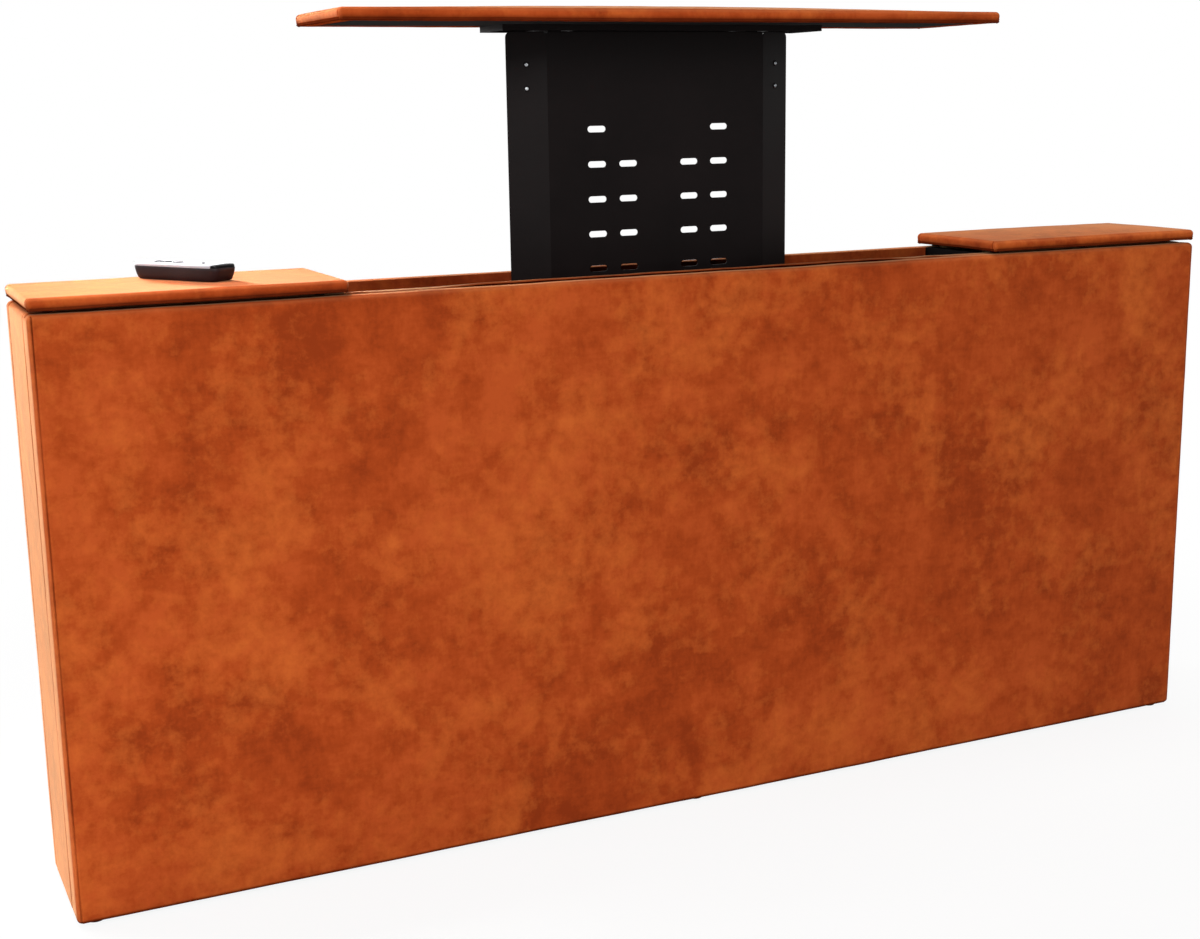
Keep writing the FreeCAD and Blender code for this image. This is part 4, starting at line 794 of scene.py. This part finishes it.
def make_underside(name, body, node, sag):
    """The black cloth stapled under a lid. It hangs a little between its staples."""
    low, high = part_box(f"{name}_cover")
    across = grid_lines(low.x + HEM, high.x - HEM, CLOTH_GRID, (0, 0))
    along = grid_lines(low.y + HEM, high.y - HEM, CLOTH_GRID, (0, 0))
    points, faces = [], []
    for y, x in product(along, across):
        free = min(x - across[0], across[-1] - x, y - along[0], along[-1] - y)
        drop = sag * ease(free / FREE_FROM) * (0.5 + 0.9 * wave((x, y, 0), 0.09, 14))
        points.append((x, y, low.z + 0.6 * MM - drop))
    wide = len(across)
    for j, i in product(range(len(along) - 1), range(wide - 1)):
        k = j * wide + i
        faces.append((k, k + wide, k + wide + 1, k + 1))
    made = new_object(f"{name}_dust_cloth", points, faces)
    thicken(made, DUST_CLOTH)
    settle(made, body, "black_cloth", node)


def make_lids():
    for name, body, board, node, sag in (
        ("left_lid", "cabinet", "end_lid_boards", "end_lid_undersides", 0.2 * MM),
        ("right_lid", "cabinet", "end_lid_boards", "end_lid_undersides", 0.2 * MM),
        ("middle_lid", "carriage", "middle_lid_board", "middle_lid_underside", 1.6 * MM),
    ):
        make_lid(name, body)
        make_underside(name, body, node, sag)


# -------------------- the handset

# the shell's outline at each level above its underside: (level, in from the ends, in from the sides), mm
SHELL_LEVELS = (
    (0.3, 8.6, 3.4),
    (0.8, 6.9, 2.0),
    (2.4, 5.3, 0.9),
    (6.0, 3.5, 0.3),
    (10.0, 2.0, 0.0),
    (14.0, 0.8, 0.0),
    (16.8, 0.2, 0.0),
    (17.6, 0.5, 0.25),
    (18.0, 1.1, 0.9),
)
# the upper shell's cross-section: (share of its half width, share of its height)
FACE_SECTION = ((1, 0), (1, 0.45), (0.985, 0.68), (0.94, 0.82), (0.8, 0.91), (0.4, 0.98), (0, 1))
# where the silver shell and the window have cross-sections: by angle, and by share of the window's length
FACE_ANGLES = (-89, -84, -78, -71, -62, -50, -35, -18, 0, 15, 28)
WINDOW_SHARES = (0, 0.04, 0.12, 0.25, 0.4, 0.55, 0.68, 0.78, 0.86, 0.92, 0.965, 0.995)
# how high the window's rounded lip is, how far it falls to the near end, mm, and where it starts to fall
WINDOW_LIP, WINDOW_FALL, WINDOW_BEND = 0.35, 3.6, 0.45
# the battery cover: how far it is from the handset's middle, near end and sides, and its levels, each with
# how far its outline draws in there, mm
DOOR_START, DOOR_END_GAP, DOOR_SIDE_GAP = 8, 12, 6
DOOR_LEVELS = ((0.9, 0.6), (0.4, 0), (0.15, 0), (0.0, 0.5))
# what is turned: (radius, level) pairs, mm
LAMP_PROFILE = ((0, 23.1), (1.6, 22.9), (2.8, 22.4), (3.4, 21.6), (3.4, 20.5))
KEY_DOME = ((0, 23.2), (2.6, 23.08), (4.4, 22.7), (5.8, 22.0), (6.5, 21.1), (6.6, 19.0), (6.6, 17.2))
KEY_RING = ((6.9, 22.1), (7.2, 22.45), (7.7, 22.5), (8.1, 22.2), (8.2, 21.2))
# each key's raised mark: how many corners it has, and which way its first one points
MARKS = {"up": (3, 180), "stop": (4, 45), "down": (3, 0)}
MARK_SIZE = 2.1 * MM
MARK_LEVELS = (22.8 * MM, 23.3 * MM)
KEY_POINTS = 40
FACE_INSET = 0.8 * MM
LAMP_PLACE = 34 * MM
# how square the corners of the shell's and of the battery cover's outline are
SHELL_BLUNTNESS = 7
DOOR_BLUNTNESS = 6


def handset_place():
    """Where the handset lies: x runs from its far end to its near end, and its underside is at z 0."""
    middle = middle_of("remote_base")
    middle.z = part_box("remote_base")[0].z
    along = (middle_of("remote_down_key") - middle_of("remote_up_key")).normalized()
    up = Vector((0, 0, 1))
    turn = Matrix((along, up.cross(along), up)).transposed()
    return Matrix.Translation(middle) @ turn.to_4x4()


HANDSET = handset_place()
CORNERS = [HANDSET.inverted() @ point.co for point in NODES["remote_face"].data.vertices]
REMOTE_HALF_LONG, REMOTE_HALF_WIDE = (max(abs(corner[i]) for corner in CORNERS) for i in (0, 1))
REMOTE_SPLIT, REMOTE_TOP = min(corner.z for corner in CORNERS), max(corner.z for corner in CORNERS)
WINDOW_START = REMOTE_HALF_LONG - 10 * MM
FACE_END = REMOTE_HALF_LONG - FACE_INSET


def blunt_ring(middle, half_long, half_wide, level, bluntness, count):
    """A rounded rectangle at this level, its middle this far along the handset."""
    ring = []
    for c, s in circle(count):
        reach = (abs(c) ** bluntness + abs(s) ** bluntness) ** (-1 / bluntness)
        ring.append((middle + half_long * c * reach, half_wide * s * reach, level))
    return ring


def top_ring(along, top, inset):
    """One cross-section of the upper shell, this far along the handset. It narrows towards the ends."""
    share = min(abs(along / (REMOTE_HALF_LONG - inset)), 1)
    wide = (REMOTE_HALF_WIDE - inset) * (1 - share**SHELL_BLUNTNESS) ** (1 / SHELL_BLUNTNESS)
    right = [(wide * y, REMOTE_SPLIT + (top - REMOTE_SPLIT) * z) for y, z in FACE_SECTION]
    left = [(-y, z) for y, z in reversed(right[:-1])]
    return [(along, y, z) for y, z in right + left]


def make_lower_shell():
    rings = []
    for level, from_end, from_side in SHELL_LEVELS:
        half_long, half_wide = REMOTE_HALF_LONG - from_end * MM, REMOTE_HALF_WIDE - from_side * MM
        rings.append(blunt_ring(0, half_long, half_wide, level * MM, SHELL_BLUNTNESS, 72))
    return loft("remote_lower_shell", rings)


def make_silver_face():
    rings = []
    for along in [FACE_END * math.sin(math.radians(a)) for a in FACE_ANGLES] + [WINDOW_START - 0.5 * MM]:
        rise = ease((along + FACE_END) / (5 * MM)) ** 0.5
        top = REMOTE_SPLIT + (REMOTE_TOP - REMOTE_SPLIT) * (0.3 + 0.7 * rise)
        rings.append(top_ring(along, top, FACE_INSET))
    return loft("remote_silver_face", rings)


def make_window():
    """The window rounds over at its seam with the silver shell and slopes down to the near end."""
    rings = []
    for share in WINDOW_SHARES:
        along = WINDOW_START + (FACE_END - WINDOW_START) * share
        lip = WINDOW_LIP * ease(share / 0.1)
        fall = WINDOW_FALL * max(0, (share - WINDOW_BEND) / (1 - WINDOW_BEND)) ** 2.4
        rings.append(top_ring(along, REMOTE_TOP + (lip - fall) * MM, FACE_INSET * 0.7))
    return loft("remote_signal_window", rings)


def make_battery_cover():
    low, high = DOOR_START * MM, REMOTE_HALF_LONG - DOOR_END_GAP * MM
    rings = []
    for level, edge in DOOR_LEVELS:
        half_long = (high - low) / 2 - edge * MM
        half_wide = REMOTE_HALF_WIDE - (DOOR_SIDE_GAP + edge) * MM
        rings.append(blunt_ring((high + low) / 2, half_long, half_wide, level * MM, DOOR_BLUNTNESS, 40))
    return loft("remote_battery_cover", rings)


def make_handset():
    """The remote control: a charcoal shell drawn in below, a silver upper shell, a glossy black window at the
    near end, a battery cover under it, a signal lamp and three keys."""
    for piece, slot, finish, nodes in (
        (make_lower_shell(), "remote_shell", None, ["remote_base"]),
        (make_silver_face(), "remote_top", None, ["remote_face"]),
        (make_window(), "remote_shell", "window", []),
        (make_battery_cover(), "remote_shell", None, ["remote_battery_door"]),
    ):
        piece.data.transform(HANDSET)
        settle(piece, "remote", slot, *nodes, finish=finish)
    lamp = turned("remote_signal_lamp", LAMP_PROFILE, 24)
    lamp.data.transform(HANDSET @ Matrix.Translation((LAMP_PLACE, 0, 0)))
    settle(lamp, "remote", "remote_shell", finish="window")
    make_keys()


def make_keys():
    """Three domed silicone keys in dark rings. Raised marks say up, stop and down."""
    back = HANDSET.inverted()
    bezels = []
    for key, (corners, first) in MARKS.items():
        middle = back @ middle_of(f"remote_{key}_key")
        there = HANDSET @ Matrix.Translation((middle.x, middle.y, 0))
        cap = turned(f"remote_{key}_key_cap", KEY_DOME, KEY_POINTS)
        cap.data.transform(there)
        settle(cap, f"{key}_key", "key_rubber", f"remote_{key}_key")

        angles = [math.radians(first + 360 * i / corners) for i in range(corners)]
        outline = [(MARK_SIZE * math.cos(a), MARK_SIZE * math.sin(a)) for a in angles]
        rings = [[(x, y, level) for x, y in outline] for level in MARK_LEVELS]
        sign = loft(f"remote_{key}_mark", rings)
        sign.data.transform(there)
        settle(sign, f"{key}_key", "remote_top")

        rings = [[(r * c * MM, r * s * MM, z * MM) for r, z in KEY_RING] for c, s in circle(KEY_POINTS)]
        bezel = loft(f"bezel_{key}", rings, closed=True)
        bezel.data.transform(there)
        bezels.append(bezel)
    settle(join("remote_key_rings", bezels), "remote", "remote_shell", finish="window")


# -------------------- screws

SCREW_HEAD_HEIGHT = 2.5 * MM
SCREW_HEAD_RADIUS = 4.5
# each node of screws: its body, the radius of a head and of a shank, and what a washer lifts the head by, mm
SCREWS = (
    ("lift_screws", "cabinet", SCREW_HEAD_RADIUS, 2.5, 0),
    ("tray_screws", "carriage", SCREW_HEAD_RADIUS, 2.5, 0),
    ("wing_screws", "carriage", 2.7, 1.9, 0.7),
)
WASHER = ((2.0, 0.8), (3.9, 0.75), (4.4, 0.4), (4.4, 0.05))
# a pan head, from its recess out to its rim: (share of its radius, share of its height)
PAN_HEAD = ((0.62, 0.96), (0.8, 0.85), (0.93, 0.64), (1, 0.3), (1, 0))
# the cross recess, from its floor up: (share of its outline, share of the head's height)
RECESS = ((0.35, 0.25), (0.8, 0.45), (1, 0.98))


def islands(node):
    """The points of each separate solid of a node."""
    mesh = NODES[node].data
    places = {}
    number = [places.setdefault(tuple(round(c, 6) for c in v.co), len(places)) for v in mesh.vertices]
    chief = list(range(len(places)))

    def top(k):
        while chief[k] != k:
            chief[k] = chief[chief[k]]
            k = chief[k]
        return k

    for face in mesh.polygons:
        first = top(number[face.vertices[0]])
        for v in face.vertices:
            chief[top(number[v])] = first
    groups = {}
    for place, k in places.items():
        groups.setdefault(top(k), []).append(Vector(place))
    return list(groups.values())


def screw_place(points):
    """A frame on the underside of a screw's head, z out of the head, and how long its shank is."""
    middle = sum(points, Vector()) / len(points)
    spread = Matrix(
        [[sum((p[i] - middle[i]) * (p[j] - middle[j]) for p in points) for j in range(3)] for i in range(3)]
    )
    # multiplying by the spread turns any direction towards the longest one, the screw's axis
    axis = Vector((0.3, 0.2, 0.9))
    for _ in range(60):
        axis = (spread @ axis).normalized()
    off = [p - middle for p in points]
    along = [p.dot(axis) for p in off]

    def width(end):
        near = [p for p, a in zip(off, along) if abs(a - end) < 0.3 * MM]
        return sum((p - axis * p.dot(axis)).length for p in near) / len(near)

    low, high = min(along), max(along)
    if width(low) > width(high):
        axis, low, high = -axis, -high, -low
    seat = high - SCREW_HEAD_HEIGHT
    turn = axis.to_track_quat("Z", "Y").to_matrix().to_4x4()
    return Matrix.Translation(middle + axis * seat) @ turn, seat - low


def cross_outline(reach, arm):
    """The outline of a cross recess: 24 points at the angles that the head's rings use too."""
    quarter = [(reach, -arm), (reach, 0), (reach, arm)]
    quarter += [((reach + arm) / 2, arm), (arm, arm), (arm, (reach + arm) / 2)]
    turned_by = [(1, 0), (0, 1), (-1, 0), (0, -1)]
    return [(x * c - y * s, x * s + y * c) for c, s in turned_by for x, y in quarter]


def make_screw(name, head_radius, shank_radius, length):
    """A pan-head screw with a cross recess, its head on z 0 and its shank below."""
    outline = cross_outline(0.56 * head_radius, 0.13 * head_radius)
    angles = [math.atan2(y, x) for x, y in outline]
    height = SCREW_HEAD_HEIGHT * min(1, head_radius / (SCREW_HEAD_RADIUS * MM))

    def ring(radius, level):
        return [(radius * math.cos(a), radius * math.sin(a), level) for a in angles]

    rings = [[(share * x, share * y, level * height) for x, y in outline] for share, level in RECESS]
    rings += [ring(share * head_radius, level * height) for share, level in PAN_HEAD]
    rings += [ring(shank_radius, 0.0), ring(shank_radius, -length + shank_radius)]
    rings.append(ring(0.25 * shank_radius, -length))
    return loft(name, rings)


def make_screws():
    """Bright pan-head screws. Those in the plate's wings are smaller, on black washers."""
    washers = []
    for node, body, head_radius, shank_radius, lift in SCREWS:
        made = []
        for i, points in enumerate(islands(node)):
            place, length = screw_place(points)
            screw = make_screw(f"{node}_{i}", head_radius * MM, shank_radius * MM, length)
            screw.data.transform(place @ Matrix.Translation((0, 0, lift * MM)))
            made.append(screw)
            if lift:
                washer = turned(f"wing_washer_{i}", WASHER, 32)
                washer.data.transform(place)
                washers.append(washer)
        settle(join(f"{node}_pan_head", made), body, "zinc_steel", node)
    settle(join("wing_screw_washers", washers), "carriage", "black_powder_coat")


# -------------------- what stays as the frame made it

# how far each finish's sharp edges are broken, mm
EDGES = {
    "black_powder_coat": 0.5,
    "zinc_steel": 0.35,
    "steel_bar": 0.3,
    "cast_housing": 0.8,
    "hard_plastic": 0.6,
    "slide_plastic": 0.4,
    "nut_plastic": 0.4,
    "carcass_board": 0.5,
    "black_board": 0.8,
    "circuit_board": 0.15,
    "remote_shell": 0.5,
    "remote_top": 0.4,
    "key_rubber": 0.4,
    "battery_can": 0.3,
}


def dress_frame():
    """Gives each carried-over part its own finish, and breaks its sharp edges as making it would."""
    slots = {part["node"]: part["material_slot"] for part in frame["record"]["subparts"]}
    for name, part in NODES.items():
        slot = slots[name]
        part.data.materials.clear()
        part.data.materials.append(MATERIALS[slot])
        if part.hide_render or slot not in EDGES:
            continue
        weld = part.modifiers.new("weld", "WELD")
        weld.merge_threshold = 0.005 * MM
        bevel = part.modifiers.new("broken_edges", "BEVEL")
        bevel.width = EDGES[slot] * MM
        bevel.segments = 2
        bevel.limit_method = "ANGLE"
        bevel.angle_limit = math.radians(40)
        bevel.use_clamp_overlap = True
        bevel.harden_normals = True


# -------------------- studio

WHITE = (1, 1, 1, 1)
FLOOR_REACH = 14.0
# the floor's own paint and shadow give way to plain white between these distances from the object
FLOOR_FADE = {"interpolation_type": "SMOOTHSTEP", "From Min": 0.6, "From Max": 1.9, "To Min": 0.88}
# the soft light from all round, from the left and from the right
SOFT_LEFT, SOFT_RIGHT = 0.36, 0.13
# each softbox: where it is, what it is aimed at, its size, its watts and the spread of its grid, in degrees
SOFTBOXES = {
    "key_softbox": ((-2.4, -4.0, 3.3), (-0.2, 0, 0.5), (2.4, 2.0), 188, 180),
    "left_softbox": ((-1.6, 0.8, 1.8), (-0.8, 0, 0.7), (0.9, 0.9), 27, 180),
    "left_lid_softbox": ((-0.74, 0.35, 2.2), (-0.74, 0.05, 0.8), (0.5, 0.3), 2.4, 46),
    "right_lid_softbox": ((0.85, 0.15, 2.4), (0.85, 0.05, 0.8), (0.8, 0.4), 3.2, 80),
    "rim_softbox": ((-0.86, 1.25, 1.2), (-0.72, 0, 0.9), (0.35, 0.14), 2, 36),
}


def make_floor():
    """A plain white floor that keeps the object's soft shadow and fades into the white behind."""
    rim = circle(64)
    points = [(0, 0, 0)] + [(FLOOR_REACH * c, FLOOR_REACH * s, 0) for c, s in rim]
    faces = [(0, i + 1, (i + 1) % len(rim) + 1) for i in range(len(rim))]
    floor = new_object("studio_floor", points, faces, smooth=False)
    paint = bpy.data.materials.new("studio_floor")
    tree = empty_tree(paint)
    matt = add(tree, "BsdfDiffuse", {"Color": linear("#F6F6F5")})
    white = add(tree, "Emission", {"Strength": 1})
    place = add(tree, "TexCoord").outputs["Object"]
    apart = add(tree, "VectorMath", {"operation": "LENGTH"}, {0: place})
    far = add(tree, "MapRange", FLOOR_FADE, {"Value": apart.outputs["Value"]})
    ray = add(tree, "LightPath").outputs
    seen = add(tree, "Math", {"operation": "MULTIPLY"}, {0: far, 1: ray["Is Camera Ray"]})
    both = add(tree, "MixShader", {}, {0: seen, 1: matt, 2: white})
    add(tree, "OutputMaterial", {}, {"Surface": both})
    floor.data.materials.append(paint)


def make_world():
    """Soft light from all round, stronger from the left, and the white that the camera and metal see."""
    world = bpy.data.worlds.new("studio")
    bpy.context.scene.world = world
    tree = empty_tree(world)
    way = add(tree, "TexCoord").outputs["Generated"]
    sides = add(tree, "SeparateXYZ", {}, {"Vector": way})
    limits = {"From Min": -1, "From Max": 1, "To Min": SOFT_LEFT, "To Max": SOFT_RIGHT}
    strength = add(tree, "MapRange", limits, {"Value": sides.outputs["X"]})
    soft = add(tree, "Background", {"Color": WHITE}, {"Strength": strength})
    white = add(tree, "Background", {"Color": WHITE, "Strength": 1})
    ray = add(tree, "LightPath").outputs
    either = {0: ray["Is Camera Ray"], 1: ray["Is Glossy Ray"]}
    first = add(tree, "Math", {"operation": "MAXIMUM"}, either)
    seen = add(tree, "Math", {"operation": "MAXIMUM"}, {0: first, 1: ray["Is Transmission Ray"]})
    both = add(tree, "MixShader", {}, {0: seen, 1: soft, 2: white})
    add(tree, "OutputWorld", {}, {"Surface": both})


def make_softboxes():
    for name, (place, target, size, watts, spread) in SOFTBOXES.items():
        light = bpy.data.lights.new(name, "AREA")
        light.spread = math.radians(spread)
        light.shape = "RECTANGLE"
        light.size, light.size_y = size
        light.energy = watts
        lamp = put(name, light)
        lamp.location = place
        lamp.rotation_euler = (Vector(target) - Vector(place)).to_track_quat("-Z", "Y").to_euler()
        lamp.visible_camera = False


# the view: where the camera stands, and how it is turned and tilted
CAMERA_PLACE = (-1.17524, -2.27536, 1.04467)
CAMERA_YAW = 25.003
CAMERA_PITCH = 12.062
CAMERA_ROLL = -0.902
LENS, SENSOR = 51.952, 36.0
NEAREST, FARTHEST = 0.05, 100


def make_camera():
    data = bpy.data.cameras.new("camera")
    data.sensor_fit = "HORIZONTAL"
    data.sensor_width = SENSOR
    data.lens = LENS
    data.clip_start, data.clip_end = NEAREST, FARTHEST
    camera = put("camera", data)
    yaw, pitch, roll = (math.radians(a) for a in (CAMERA_YAW, CAMERA_PITCH, CAMERA_ROLL))
    ahead = Vector((math.sin(yaw) * math.cos(pitch), math.cos(yaw) * math.cos(pitch), -math.sin(pitch)))
    level = Vector((math.cos(yaw), -math.sin(yaw), 0))
    above = level.cross(ahead)
    right = level * math.cos(roll) + above * math.sin(roll)
    up = above * math.cos(roll) - level * math.sin(roll)
    turn = Matrix((right, up, -ahead)).transposed()
    camera.matrix_world = Matrix.Translation(CAMERA_PLACE) @ turn.to_4x4()
    bpy.context.scene.camera = camera


# -------------------- the whole

bpy.context.scene.view_settings.view_transform = "Standard"
make_camera()
make_floor()
make_world()
make_softboxes()
make_front_cover()
make_back_cover()
for side in (LEFT, RIGHT):
    make_end_cover(side)
make_front_lining()
make_back_lining()
make_lids()
make_handset()
make_screws()
dress_frame()
